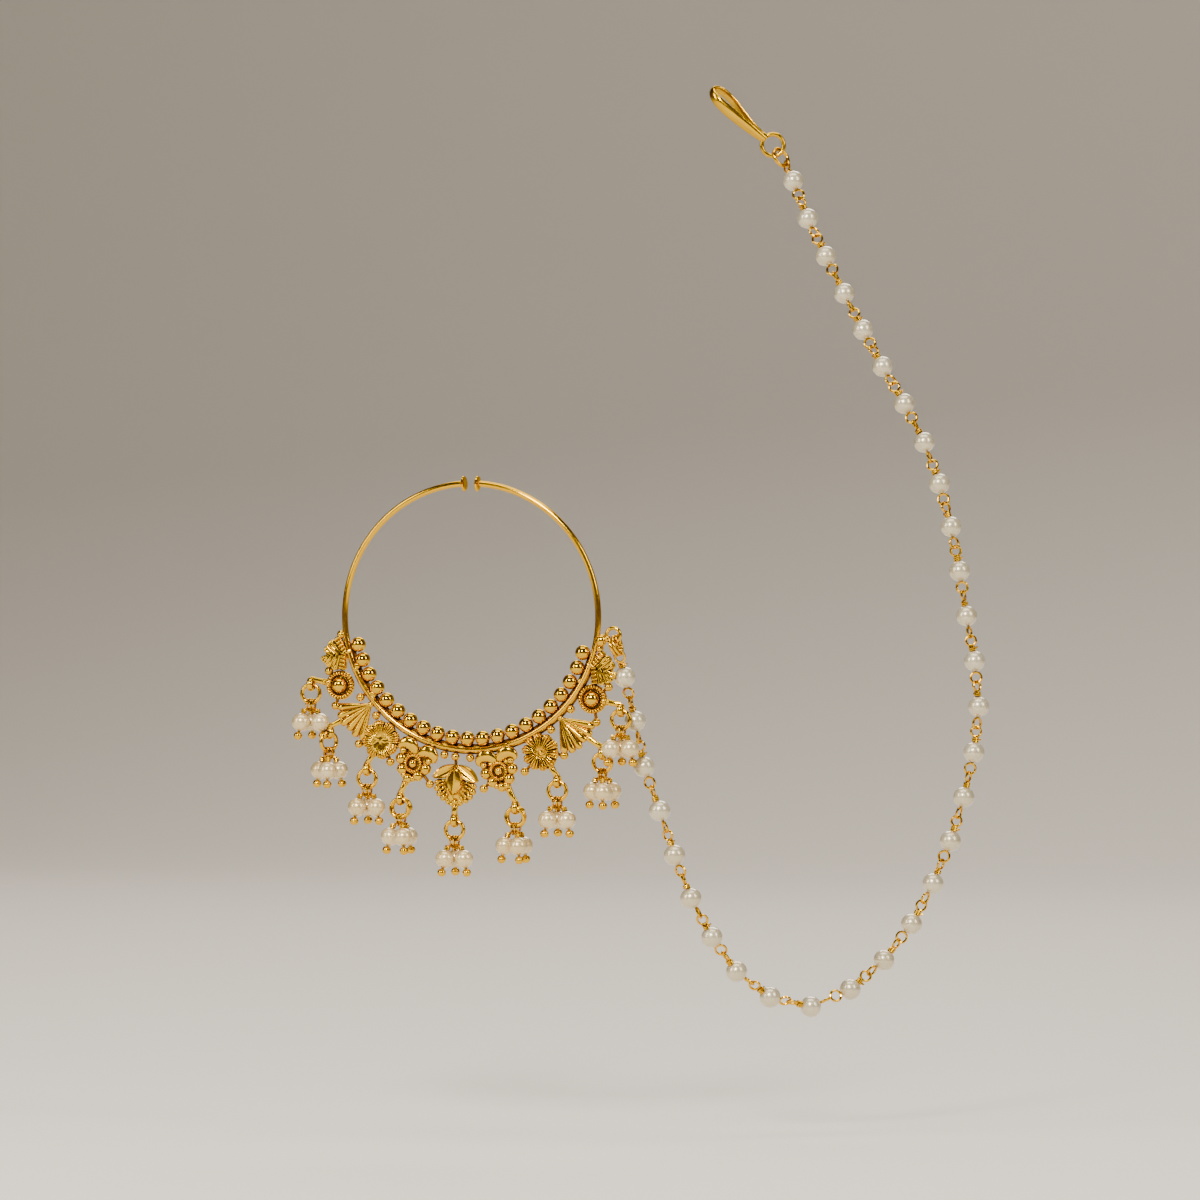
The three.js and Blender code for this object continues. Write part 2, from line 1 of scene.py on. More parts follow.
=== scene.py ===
"""The looks of a nath nose ring: antique gold castings, polished balls, pearl drops and a pearl chain.

Shapes are made in millimetres, with +Z up and the front facing -Y, and scaled to metres at the end.
"""
import math

import bmesh
import bpy
from mathutils import Matrix, Vector, noise


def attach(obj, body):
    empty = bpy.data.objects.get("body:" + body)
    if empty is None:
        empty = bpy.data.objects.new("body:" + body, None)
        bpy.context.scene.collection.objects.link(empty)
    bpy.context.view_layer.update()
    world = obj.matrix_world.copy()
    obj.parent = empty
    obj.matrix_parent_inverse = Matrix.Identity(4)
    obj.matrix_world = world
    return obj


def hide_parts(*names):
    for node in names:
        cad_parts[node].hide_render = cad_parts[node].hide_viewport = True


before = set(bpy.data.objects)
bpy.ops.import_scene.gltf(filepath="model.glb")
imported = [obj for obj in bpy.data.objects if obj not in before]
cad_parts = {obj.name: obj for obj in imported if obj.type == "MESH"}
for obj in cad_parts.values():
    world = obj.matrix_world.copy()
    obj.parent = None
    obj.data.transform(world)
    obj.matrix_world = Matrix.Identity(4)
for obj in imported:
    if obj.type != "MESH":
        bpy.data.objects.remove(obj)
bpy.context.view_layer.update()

MM = 0.001
# Edges that turn by more than this many degrees are shaded sharp.
SHARP_EDGE = 40

# The hoop. Angles on it run from straight down, positive towards -X.
HOOP_RADIUS = 26.4
HOOP_WIRE = 1.2
HOOP_GAP = 2.2
BUTTON_WIDTH = 3.0
BUTTON_THICKNESS = 0.6
BALL_WIDTH = 3.0
BALL_COUNT = 21
FIRST_BALL = 76.5
LAST_BALL = -73.2
BALL_GAP = 0.06

# The castings stand on a level back, just behind the wire.
CAST_BACK = -0.6
CAST_FACE = 0.6
# Their webs reach back a little further, so that no two backs lie in one plane.
WEB_BACK = -0.66
GRANULE_WIDTH = 1.7

# The drops.
DROP_RING_WIDTH = 4.5
DROP_RING_WIRE = 0.8
DROP_RING_RADIUS = (DROP_RING_WIDTH - DROP_RING_WIRE) / 2
EYE_HOLE = 1.4
EYELET_WIRE = 0.7
DROP_PEARL = 3.8
DROP_LENGTH = 5.7
DROP_STEP = 3.75
DROP_SPREAD = DROP_STEP / math.sqrt(3)
PIN_WIRE = 0.42
PIN_HEAD = 1.7
PIN_LEAN = 15.0
# How far apart the three eyes of a drop sit on its jump ring.
EYE_STEP = 0.56
# How high a pearl is for its width, along its hole.
PEARL_HEIGHT = 0.97

# The chain, its loop on the hoop and its doubled ring.
LUMP_ANGLE = -80.3
LOOP_ANGLE = -83.3
LOOP_OUT = 3.3
LOOP_WIDTH = 3.5
LOOP_WIRE = 0.75
DOUBLE_RING_WIDTH = 4.4
DOUBLE_RING_WIRE = 0.7
CHAIN_PEARL = 4.25
CHAIN_PEARLS = 31
CHAIN_WIRE = 0.48
CHAIN_EYE = 2.6
PLAIN_EYE = 2.65
WRAPPED_EYE = 2.5
WRAP_LENGTH = 0.8
WRAP_WIDTH = 1.45
WRAP_WIRE = 0.4
LINK_SLACK = 0.3
CHAIN_HANG = Vector((0.29, 0.02, -0.957)).normalized()

# From this pearl on, counted from the hoop, the wrapped eyes are at the other end of the pearls.
CHAIN_TURN = 10

# The chain's route, counted from the middle of the fixed loop.
CHAIN_ROUTE = [
    (3.2, 4, -16.5), (4.9, 4.3, -25.6), (8.4, 4.7, -35.4), (14.3, 7.2, -53),
    (21.8, 15.8, -68), (27.8, 21.1, -72.9), (35, 26.9, -74.1), (46.7, 35.5, -64.6), (54.7, 40.1, -50.4),
    (60.4, 43, -33), (63.1, 44.5, -14.8), (60.4, 45.3, 3.2), (56.3, 47.4, 22.6), (50.1, 50.3, 38.8),
    (40.2, 53.6, 54.7), (30.8, 58.6, 69.9), (22.2, 62.8, 85.1), (18.9, 65.2, 92), (16.7, 67.8, 95.4),
]

# The hook.
HOOK_EYE_WIDTH = 5.4
HOOK_EYE_WIRE = 0.9
HOOK_LINK_LENGTH = 4.7
HOOK_LINK_WIDTH = 4.2
HOOK_LINK_WIRE = 0.8
HOOK_AIM = Vector((-0.73, -0.22, 0.64)).normalized()
HOOK_BACK = Vector((0.15, 0.86, 0.48))
HOOK_EYE_FACE = Vector((0.29, -0.956, 0)).normalized()
LINK_AIM = Vector((-0.53, -0.16, 0.83)).normalized()
LINK_TURN = 45

# The photograph's view: degrees to the right and up, how far off, and the width that it takes in.
VIEW_AZIMUTH = 17.0
VIEW_ELEVATION = 0.8
VIEW_DISTANCE = 1.3
VIEW_WIDTH = 0.2378
VIEW_TARGET = Vector((0.0245, 0.0074, -0.0231))

# The studio, in metres: its windows with their degrees to the right and up, distance, width, height
# and watts.
FLOOR_HEIGHT = -0.130
FLOOR_COLOUR = (0.86, 0.81, 0.73, 1)
ROOM_COLOURS = [(0.0, (0.15, 0.10, 0.055, 1)), (0.5, (0.05, 0.038, 0.028, 1))]
WINDOW_COLOUR = (1.0, 0.955, 0.89)
WINDOW_AIM = Vector((0.02, 0.0, -0.03))
WINDOWS = [
    ("window_front", 2, 31, 0.9, 0.17, 0.22, 8.5),
    ("window_left", -48, 22, 0.9, 0.16, 0.50, 3.2),
    ("window_right", 72, 27, 0.9, 0.15, 0.45, 3.2),
    ("window_top", 17, 84, 0.9, 0.8, 0.4, 5.0),
    ("window_back", 190, 40, 1.1, 0.7, 0.5, 6.5),
]

FRONT = Vector((0, -1, 0))
UP = Vector((0, 0, 1))
HOOP_MIDDLE = Vector((0, 0, -HOOP_RADIUS))


def hoop_place(angle, out=0.0, front=0.0, turn=0.0, lean=0.0):
    """A place on the hoop: x runs along the hoop, y away from its middle and z to the front."""
    round_hoop = math.radians(angle)
    outward = Vector((-math.sin(round_hoop), 0, -math.cos(round_hoop)))
    place = Matrix((outward.cross(FRONT), outward, FRONT)).transposed().to_4x4()
    place.translation = HOOP_MIDDLE + outward * (HOOP_RADIUS + out) + FRONT * front
    tilt = Matrix.Rotation(math.radians(lean), 4, "X")
    return place @ tilt @ Matrix.Rotation(math.radians(turn), 4, "Z")


def facing(middle, normal, across=None):
    """A place whose z runs along the normal, and whose x runs towards across where that is given."""
    z = normal.normalized()
    guide = across if across is not None else (UP if abs(z.z) < 0.9 else Vector((1, 0, 0)))
    x = (guide - z * guide.dot(z)).normalized()
    place = Matrix((x, z.cross(x), z)).transposed().to_4x4()
    place.translation = middle
    return place


def shift(x=0.0, y=0.0, z=0.0):
    return Matrix.Translation((x, y, z))


def turned_by(degrees, axis="Z"):
    return Matrix.Rotation(math.radians(degrees), 4, axis)


def sized(x, y, z):
    return Matrix.Diagonal((x, y, z, 1))


def smooth_line(points, steps):
    """A line through the points, evenly curved, with the given number of steps between each two."""
    points = [Vector(p) for p in points]
    ends = [points[0] * 2 - points[1], *points, points[-1] * 2 - points[-2]]
    line = []
    for i in range(1, len(ends) - 2):
        a, b, c, d = ends[i - 1:i + 3]
        knots = [0.0]
        for low, high in ((a, b), (b, c), (c, d)):
            knots.append(knots[-1] + math.sqrt(max((high - low).length, 1e-6)))
        for k in range(steps + (i == len(ends) - 3)):
            t = knots[1] + (knots[2] - knots[1]) * k / steps
            first = blend_points(a, b, knots[0], knots[1], t)
            second = blend_points(b, c, knots[1], knots[2], t)
            third = blend_points(c, d, knots[2], knots[3], t)
            low = blend_points(first, second, knots[0], knots[2], t)
            high = blend_points(second, third, knots[1], knots[3], t)
            line.append(blend_points(low, high, knots[1], knots[2], t))
    return line


def blend_points(a, b, low, high, t):
    return a + (b - a) * ((t - low) / (high - low))


def even_points(line, shares):
    """The points at these shares of a line's length."""
    reach = [0.0]
    for a, b in zip(line, line[1:]):
        reach.append(reach[-1] + (b - a).length)
    found = []
    i = 0
    for share in shares:
        goal = share * reach[-1]
        while reach[i + 1] < goal:
            i += 1
        found.append(line[i].lerp(line[i + 1], (goal - reach[i]) / (reach[i + 1] - reach[i])))
    return found


def ball(width, sides=24, rows=14):
    shape = bmesh.new()
    bmesh.ops.create_uvsphere(shape, u_segments=sides, v_segments=rows, radius=width / 2)
    return shape


def close_ends(shape):
    open_edges = [edge for edge in shape.edges if edge.is_boundary]
    if open_edges:
        bmesh.ops.holes_fill(shape, edges=open_edges, sides=0)


def ring(outside, wire, steps=36, sides=10, turns=1.0, pitch=0.0):
    """A ring of round wire in the XY plane. More turns wind it up along Z by the pitch."""
    shape = bmesh.new()
    radius = (outside - wire) / 2
    place = shift(radius, 0, -pitch * turns / 2) @ turned_by(90, "X")
    bmesh.ops.create_circle(shape, segments=sides, radius=wire / 2, matrix=place)
    count = round(steps * turns)
    bmesh.ops.spin(
        shape, geom=shape.verts[:] + shape.edges[:], cent=(0, 0, 0), axis=(0, 0, 1),
        dvec=(0, 0, pitch * turns / count), angle=2 * math.pi * turns, steps=count,
        use_merge=(turns == 1.0),
    )
    bmesh.ops.remove_doubles(shape, verts=shape.verts, dist=1e-5)
    close_ends(shape)
    return shape


def hoop_wire(radius, wire, from_angle, to_angle, steps, sides):
    """A round wire along the hoop, between two angles."""
    shape = bmesh.new()
    place = turned_by(90 + from_angle, "Y") @ shift(radius)
    bmesh.ops.create_circle(shape, segments=sides, radius=wire / 2, matrix=place)
    bmesh.ops.spin(
        shape, geom=shape.verts[:] + shape.edges[:], cent=(0, 0, 0), axis=(0, -1, 0),
        angle=math.radians(from_angle - to_angle), steps=steps,
    )
    close_ends(shape)
    bmesh.ops.translate(shape, vec=HOOP_MIDDLE, verts=shape.verts)
    return shape


def sweep(points, width, thickness=None, steps=4, sides=10, square=1.0, side=None):
    """A round or flat section drawn along a smooth line. Sizes may be one number or one per point."""
    line = smooth_line(points, steps)
    widths = spread(width, len(points), steps)
    thicknesses = widths if thickness is None else spread(thickness, len(points), steps)
    shape = bmesh.new()
    bmesh.ops.create_circle(shape, segments=sides, radius=1.0)
    for vert in shape.verts:
        for axis in (0, 1):
            amount = vert.co[axis]
            vert.co[axis] = math.copysign(abs(amount) ** square, amount) / 2
    across = side or (UP if abs((line[1] - line[0]).normalized().z) < 0.9 else Vector((1, 0, 0)))
    before = Matrix()
    edges = shape.edges[:]
    for i, point in enumerate(line):
        ahead = (line[min(i + 1, len(line) - 1)] - line[max(i - 1, 0)]).normalized()
        across = (across - ahead * across.dot(ahead)).normalized()
        station = facing(point, ahead, across) @ sized(widths[i], thicknesses[i], 1)
        if i:
            made = bmesh.ops.extrude_edge_only(shape, edges=edges)["geom"]
            edges = [part for part in made if isinstance(part, bmesh.types.BMEdge)]
            verts = [part for part in made if isinstance(part, bmesh.types.BMVert)]
        else:
            verts = shape.verts[:]
        bmesh.ops.transform(shape, matrix=station @ before.inverted(), verts=verts)
        before = station
    close_ends(shape)
    return shape


def spread(size, count, steps):
    """A size for each step of a line, from one number or one for each point."""
    if isinstance(size, (int, float)):
        return [size] * ((count - 1) * steps + 1)
    sizes = []
    for a, b in zip(size, size[1:]):
        sizes += [a + (b - a) * k / steps for k in range(steps)]
    return sizes + [size[-1]]


def turned(profile, steps, form=None):
    """A shape turned round Z from its profile of radius and height. form may move each vertex."""
    shape = bmesh.new()
    verts = [shape.verts.new((radius, 0, height)) for radius, height in profile]
    edges = [shape.edges.new(pair) for pair in zip(verts, verts[1:])]
    bmesh.ops.spin(
        shape, geom=verts + edges, cent=(0, 0, 0), axis=(0, 0, 1), angle=2 * math.pi,
        steps=steps, use_merge=True,
    )
    bmesh.ops.remove_doubles(shape, verts=shape.verts, dist=1e-4)
    if form:
        for vert in shape.verts:
            radius = math.hypot(vert.co.x, vert.co.y)
            angle = math.atan2(vert.co.y, vert.co.x)
            radius, height = form(radius, vert.co.z, angle)
            vert.co = (radius * math.cos(angle), radius * math.sin(angle), height)
    return shape


def relief(columns, rows, form):
    """A cast sheet whose edges go straight down to a flat back.

    form gives the place of each point, from -1 to 1 across and 0 to 1 along.
    """
    shape = bmesh.new()
    bmesh.ops.create_grid(shape, x_segments=columns, y_segments=rows, size=1.0)
    for vert in shape.verts:
        vert.co = form(vert.co.x, (vert.co.y + 1) / 2)
    rim = [edge for edge in shape.edges if edge.is_boundary]
    made = bmesh.ops.extrude_edge_only(shape, edges=rim)["geom"]
    for part in made:
        if isinstance(part, bmesh.types.BMVert):
            part.co.z = CAST_BACK
    close_ends(shape)
    return shape


def bump_at(value, middle, width):
    """A soft bump from 0 to 1 round a middle."""
    return math.exp(-((value - middle) / width) ** 2)


def lerp(a, b, share):
    return a + (b - a) * share


def bars(count, angle, narrow=2.2):
    """A round of flat-topped bars with narrow slots between them, from -1 in a slot to 1 on a bar."""
    return 1 - 2 * ((1 - math.cos(count * angle)) / 2) ** narrow


class Piece:
    """One piece of the model, gathered from small shapes."""

    def __init__(self, name, finish, slot, *stands_for):
        self.name = name
        self.finish = finish
        self.slot = slot
        self.stands_for = stands_for
        self.bm = bmesh.new()

    def add(self, shape, *places):
        """Takes a shape in, moved by each place in turn, the last one first."""
        place = Matrix()
        for step in places:
            place = place @ step
        bmesh.ops.transform(shape, matrix=place, verts=shape.verts)
        bmesh.ops.recalc_face_normals(shape, faces=shape.faces)
        mesh = bpy.data.meshes.new("shape")
        shape.to_mesh(mesh)
        shape.free()
        self.bm.from_mesh(mesh)
        bpy.data.meshes.remove(mesh)

    def done(self):
        """Makes the object, rides it on the body and hides the nodes that it stands for."""
        bmesh.ops.scale(self.bm, vec=(MM, MM, MM), verts=self.bm.verts)
        mesh = bpy.data.meshes.new(self.name)
        self.bm.to_mesh(mesh)
        self.bm.free()
        mesh.shade_smooth()
        mesh.set_sharp_from_angle(angle=math.radians(SHARP_EDGE))
        mesh.materials.append(self.finish)
        made = bpy.data.objects.new(self.name, mesh)
        bpy.context.scene.collection.objects.link(made)
        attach(made, "root")
        if self.stands_for:
            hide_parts(*self.stands_for)


class Amount:
    """A number on a shader socket. Arithmetic on it adds Math nodes."""

    def __init__(self, finish, socket):
        self.finish = finish
        self.socket = socket

    def math(self, operation, first, second):
        node = self.finish.node("ShaderNodeMath", {"operation": operation}, {0: first, 1: second})
        return Amount(self.finish, node.outputs[0])

    def __add__(self, other):
        return self.math("ADD", self, other)

    __radd__ = __add__

    def __sub__(self, other):
        return self.math("SUBTRACT", self, other)

    def __rsub__(self, other):
        return self.math("SUBTRACT", other, self)

    def __mul__(self, other):
        return self.math("MULTIPLY", self, other)

    __rmul__ = __mul__

    def clamped(self):
        node = self.finish.node("ShaderNodeClamp", {}, {"Value": self})
        return Amount(self.finish, node.outputs[0])


class Finish:
    """A material and its nodes."""

    def __init__(self, name, **fixed):
        self.material = bpy.data.materials.new(name)
        self.material.use_nodes = True
        self.tree = self.material.node_tree
        self.shader = self.tree.nodes["Principled BSDF"]
        for socket, value in fixed.items():
            self.shader.inputs[socket.replace("_", " ")].default_value = value
        self.place = self.node("ShaderNodeTexCoord").outputs["Object"]

    def node(self, kind, settings=None, sockets=None):
        """Adds a node, with its settings first and then the values or links of its sockets."""
        made = self.tree.nodes.new(kind)
        for name, value in (settings or {}).items():
            if name == "stops":
                for element, (place, colour) in zip(made.color_ramp.elements, value):
                    element.position = place
                    element.color = colour
            else:
                setattr(made, name, value)
        for name, value in (sockets or {}).items():
            self.feed(made.inputs[name], value)
        return made

    def feed(self, socket, value):
        if isinstance(value, Amount):
            value = value.socket
        if isinstance(value, bpy.types.NodeSocket):
            self.tree.links.new(value, socket)
        else:
            socket.default_value = value

    def noise(self, scale, detail=3.0, roughness=0.55):
        node = self.node(
            "ShaderNodeTexNoise", {},
            {"Vector": self.place, "Scale": scale, "Detail": detail, "Roughness": roughness},
        )
        return Amount(self, node.outputs["Fac"])

    def mix(self, share, first, second):
        node = self.node("ShaderNodeMix", {"data_type": "RGBA"}, {0: share, 6: first, 7: second})
        return node.outputs[2]

    def recess(self, reach):
        """How deep a place lies among its neighbours, from 0 in the open to 1 in a crevice."""
        node = self.node("ShaderNodeAmbientOcclusion", {"samples": 6}, {"Distance": reach * MM})
        return 1 - Amount(self, node.outputs["AO"])

    def bump(self, height, strength, depth):
        node = self.node(
            "ShaderNodeBump", {}, {"Height": height, "Strength": strength, "Distance": depth * MM},
        )
        self.feed(self.shader.inputs["Normal"], node.outputs["Normal"])

    def surface(self, **varying):
        for socket, value in varying.items():
            self.feed(self.shader.inputs[socket.replace("_", " ")], value)


def antique_gold(name, metal, patina_and_shade_colour, polish, patina_and_shade_strength, grain, reach=0.5):
    """Cast gold: bright on what stands out, darker in the recesses, partly as dark oxide and partly as
    painted shade.
    """
    finish = Finish(name, Specular_Tint=(1.0, 0.80, 0.36, 1))
    depth = finish.recess(reach)
    cloud = finish.noise(330)
    # How hidden a place is darkens it: partly oxide in the hollows, partly painted shade.
    patina_and_shade = ((depth - 0.27 + (cloud - 0.5) * 0.20) * 2.4 * patina_and_shade_strength).clamped()
    rich = tuple(channel * factor for channel, factor in zip(metal, (0.92, 0.82, 0.60, 1)))
    scuffs = finish.noise(1500, 2.0)
    finish.surface(
        Base_Color=finish.mix(patina_and_shade, finish.mix(cloud, metal, rich), patina_and_shade_colour),
        Metallic=1 - patina_and_shade * 0.35,
        Roughness=polish + scuffs * 0.10 + patina_and_shade * 0.30,
    )
    finish.bump(finish.noise(1100, 4.0), grain, 0.05)
    return finish.material


def pearl_lustre(name, body, warm):
    """Pearl: a creamy body with a soft inner shine under a clear skin, a little warmer in patches."""
    finish = Finish(name, Coat_Weight=1.0, Coat_Roughness=0.13, Coat_IOR=1.6, IOR=1.55)
    cloud = finish.noise(130, 1.0)
    finish.surface(
        Base_Color=finish.mix((cloud * 1.8 - 0.4).clamped(), body, warm),
        Metallic=0.42 + finish.noise(90, 1.0) * 0.12,
        Roughness=0.28 + finish.noise(420, 2.0) * 0.10,
    )
    finish.bump(finish.noise(320, 2.0), 0.06, 0.05)
    return finish.material


BALL_GOLD = antique_gold(
    "ball_gold", (0.76, 0.47, 0.018, 1), (0.05, 0.014, 0.001, 1), polish=0.07, patina_and_shade_strength=0.9, grain=0.03,
)
CAST_GOLD = antique_gold(
    "cast_gold", (0.80, 0.50, 0.022, 1), (0.045, 0.014, 0.001, 1), polish=0.10, patina_and_shade_strength=1.1, grain=0.15,
)
# The solder is real, but its dark colour is painted shade for the gaps behind and between the parts.
SEAM_GOLD_PAINTED_SHADE = antique_gold(
    "seam_gold_painted_shade", (0.30, 0.12, 0.008, 1), (0.03, 0.010, 0.001, 1),
    polish=0.30, patina_and_shade_strength=1.3, grain=0.3, reach=1.2,
)
WIRE_GOLD = antique_gold(
    "wire_gold_polished", (0.82, 0.48, 0.013, 1), (0.06, 0.018, 0.001, 1), polish=0.10, patina_and_shade_strength=0.8, grain=0.05,
)
# Its long reach darkens the hook's inner faces and the inside of its bend: painted shade.
HOOK_GOLD_SHADED_INSIDE = antique_gold(
    "hook_gold_painted_shade_inside", (0.74, 0.45, 0.015, 1), (0.09, 0.026, 0.002, 1),
    polish=0.13, patina_and_shade_strength=0.9, grain=0.30, reach=3.5,
)
PEARL = pearl_lustre("pearl_skin", (0.76, 0.61, 0.33, 1), (0.68, 0.50, 0.21, 1))
CHAIN_PEARL_SKIN = pearl_lustre("chain_pearl_skin", (0.70, 0.63, 0.45, 1), (0.62, 0.53, 0.32, 1))


def hoop():
    """The open wire hoop, with a flat button at each end."""
    per_mm = math.degrees(1) / HOOP_RADIUS
    end = 180 - (HOOP_GAP / 2 + BUTTON_THICKNESS / 2) * per_mm
    piece = Piece("hoop", WIRE_GOLD, "gold", "nose_ring")
    piece.add(hoop_wire(HOOP_RADIUS, HOOP_WIRE, end, -end, 220, 14))
    rim = BUTTON_THICKNESS / 2
    half = BUTTON_WIDTH / 2
    profile = [
        (0, -rim * 0.8), (half * 0.5, -rim * 0.9), (half * 0.85, -rim), (half, -rim * 0.5),
        (half, rim * 0.5), (half * 0.85, rim), (half * 0.5, rim * 0.9), (0, rim * 0.8),
    ]
    for angle in (end, -end):
        piece.add(turned(profile, 32), hoop_place(angle), turned_by(90, "Y"))
    piece.done()


# Spots of solder that have run onto the wire: degrees round the hoop, out of the wire, and width.
SOLDER_SPOTS = [
    (67.4, -0.75, 1.3), (66.2, -0.2, 0.9), (52.8, -0.8, 1.5), (51.6, -0.25, 1.1), (-61.0, -0.5, 0.9),
]


def balls():
    """The row of polished balls inside the hoop, each held by a spot of solder."""
    piece = Piece("hoop_balls", BALL_GOLD, "gold", "nose_ring")
    out = -(HOOP_WIRE / 2 + BALL_GAP + BALL_WIDTH / 2)
    for i in range(BALL_COUNT):
        angle = lerp(FIRST_BALL, LAST_BALL, i / (BALL_COUNT - 1))
        piece.add(ball(BALL_WIDTH, 28, 16), hoop_place(angle, out))
    for angle, out, size in SOLDER_SPOTS:
        piece.add(ball(size, 16, 10), hoop_place(angle, out, 0.35), sized(1.1, 0.9, 0.8))
    piece.done()


def seam():
    """The solder behind the wire that joins the balls and the castings to it, in a dark gold that paints
    the shade in the gaps between the parts.
    """
    piece = Piece("solder_seam", SEAM_GOLD_PAINTED_SHADE, "gold", "nose_ring")
    inner = HOOP_RADIUS - 1.15
    outer = HOOP_RADIUS + 0.9
    middle = (inner + outer) / 2
    band = hoop_wire(middle, 0.5, FIRST_BALL, LAST_BALL, 80, 8)
    for vert in band.verts:
        offset = vert.co - HOOP_MIDDLE
        flat = Vector((offset.x, 0, offset.z))
        reach = flat.length - middle
        vert.co = HOOP_MIDDLE + flat.normalized() * (middle + reach * (outer - inner) / 0.5)
        vert.co.y = offset.y * 0.9 + 0.6
    piece.add(band)
    out = -(HOOP_WIRE / 2 + BALL_GAP / 2)
    for i in range(BALL_COUNT):
        angle = lerp(FIRST_BALL, LAST_BALL, i / (BALL_COUNT - 1))
        size = 0.55 + 0.25 * ((i * 7) % 5) / 5
        piece.add(ball(size, 12, 8), hoop_place(angle, out, -0.1), sized(1.2, 1.0, 0.8))
    piece.done()


# The granules: degrees round the hoop, how far out of the wire, and what a stub joins each to.
GRANULES = [
    (82.3, 1.0, None), (45.0, 1.6, None), (55.0, 1.8, None), (11.3, 1.6, None), (0.2, 1.6, None),
    (-36.9, 1.4, None), (-48.8, 1.2, None), (6.6, 1.6, "lotus"), (14.4, 8.0, "left_horns"),
    (69.7, 5.3, "left_rosette"), (57.7, 7.1, "left_rosette"), (42.6, 8.2, "left_daisy"),
    (30.1, 7.1, "left_daisy"), (-4.6, 7.8, "right_horns"), (-20.2, 6.2, "right_daisy"),
    (-35.4, 7.1, "right_daisy"), (-51.5, 6.9, "right_rosette"), (-64.3, 5.3, "right_rosette"),
]


def granules():
    piece = Piece("granules", BALL_GOLD, "gold", "nose_ring")
    # The stubs take the dark seam gold, which paints shade between the granules and what they join.
    stubs = Piece("granule_stubs", SEAM_GOLD_PAINTED_SHADE, "gold", "nose_ring")
    for angle, out, carrier in GRANULES:
        piece.add(ball(GRANULE_WIDTH, 20, 12), hoop_place(angle, out, 0.1))
        base = hoop_place(angle, out, -0.25).translation
        if carrier:
            goal = base.lerp(hoop_place(*CASTINGS[carrier][1:], front=-0.25).translation, 0.5)
        else:
            goal = hoop_place(angle, 0.4, -0.25).translation
        stubs.add(sweep([base, goal], 0.6, steps=2))
    stubs.done()
    piece.done()


def leaf_finger(length, width, ladder):
    """One flat-topped finger of the vine leaf, notched across like a ladder or slotted along."""
    def form(across, along):
        end = max(0.0, (along - 0.82) / 0.18)
        half = width / 2 * math.sqrt(max(0.10, 1 - end ** 2.4)) * lerp(0.76, 1.0, min(1, along * 1.2))
        edge = max(0.0, (abs(across) - 0.66) / 0.34)
        height = CAST_FACE + 0.34 - 0.24 * edge ** 2 - 0.16 * end ** 3
        if ladder:
            slot = 0.5 - 0.5 * math.cos(2 * math.pi * 4.5 * along)
            height -= 0.34 * slot ** 1.4 * (abs(across) < 0.74)
        else:
            height -= 0.24 * bump_at(across, 0, 0.15) * bump_at(along, 0.62, 0.2)
        return Vector((across * half, along * length, height))
    return relief(12, 36, form)


# The vine leaf's fingers on each side: where each leaves the midline, its lean, length and width, and
# whether it is notched like a ladder.
LEAF_FINGERS = [
    (-1.95, 68, 2.95, 1.32, True), (-0.85, 57, 2.75, 1.34, False), (0.25, 44, 2.15, 1.25, False),
]


def vine_leaf(piece, place, mirror):
    """A vine leaf: flat fingers that lean away from a dark midline. mirror is -1 on the right side."""
    place = place @ sized(1.18, 1.05, 1)
    for hand in (1, -1):
        for level, (up, spread_angle, length, width, ladder) in enumerate(LEAF_FINGERS):
            lean = spread_angle + 4 * hand * mirror
            step = shift(hand * 0.10, up - 0.15 * hand * mirror, 0.03 * level) @ turned_by(-hand * lean)
            piece.add(leaf_finger(length, width, ladder), place, step)
    piece.add(leaf_finger(1.7, 1.15, False), place, shift(0, 1.05, 0.08), turned_by(6 * mirror))
    stalk = [(0, -3.0, 0.1), (0, -2.4, 0.4), (0, -1.7, 0.4)]
    piece.add(sweep(stalk, [1.1, 0.8, 0.35], steps=4, sides=10), place)
    web = turned([(0, 0.35), (2.0, 0.30), (2.2, 0.1), (1.9, WEB_BACK), (0, WEB_BACK)], 24)
    piece.add(web, place, shift(0, -0.3))


def left_leaf(piece, place):
    vine_leaf(piece, place, 1)


def right_leaf(piece, place):
    vine_leaf(piece, place, -1)


def rosette(piece, place):
    """A round boss in a rope-edged ring."""
    notches = 27

    def form(radius, height, angle):
        rope = bump_at(radius, 2.42, 0.55) if height > -0.3 else 0.0
        wave = bars(notches, angle)
        return radius + 0.05 * wave * rope, height + 0.17 * wave * rope

    profile = [
        (0, 2.05), (0.42, 2.0), (0.80, 1.84), (1.14, 1.55), (1.40, 1.15), (1.54, 0.7), (1.58, 0.30),
        (1.64, -0.05), (1.76, -0.10), (1.88, 0.12), (2.02, 0.40), (2.2, 0.56), (2.42, 0.62),
        (2.62, 0.54), (2.80, 0.34), (2.92, 0.05), (2.94, -0.25), (2.85, CAST_BACK), (0, CAST_BACK),
    ]
    piece.add(turned(profile, notches * 8, form), place)


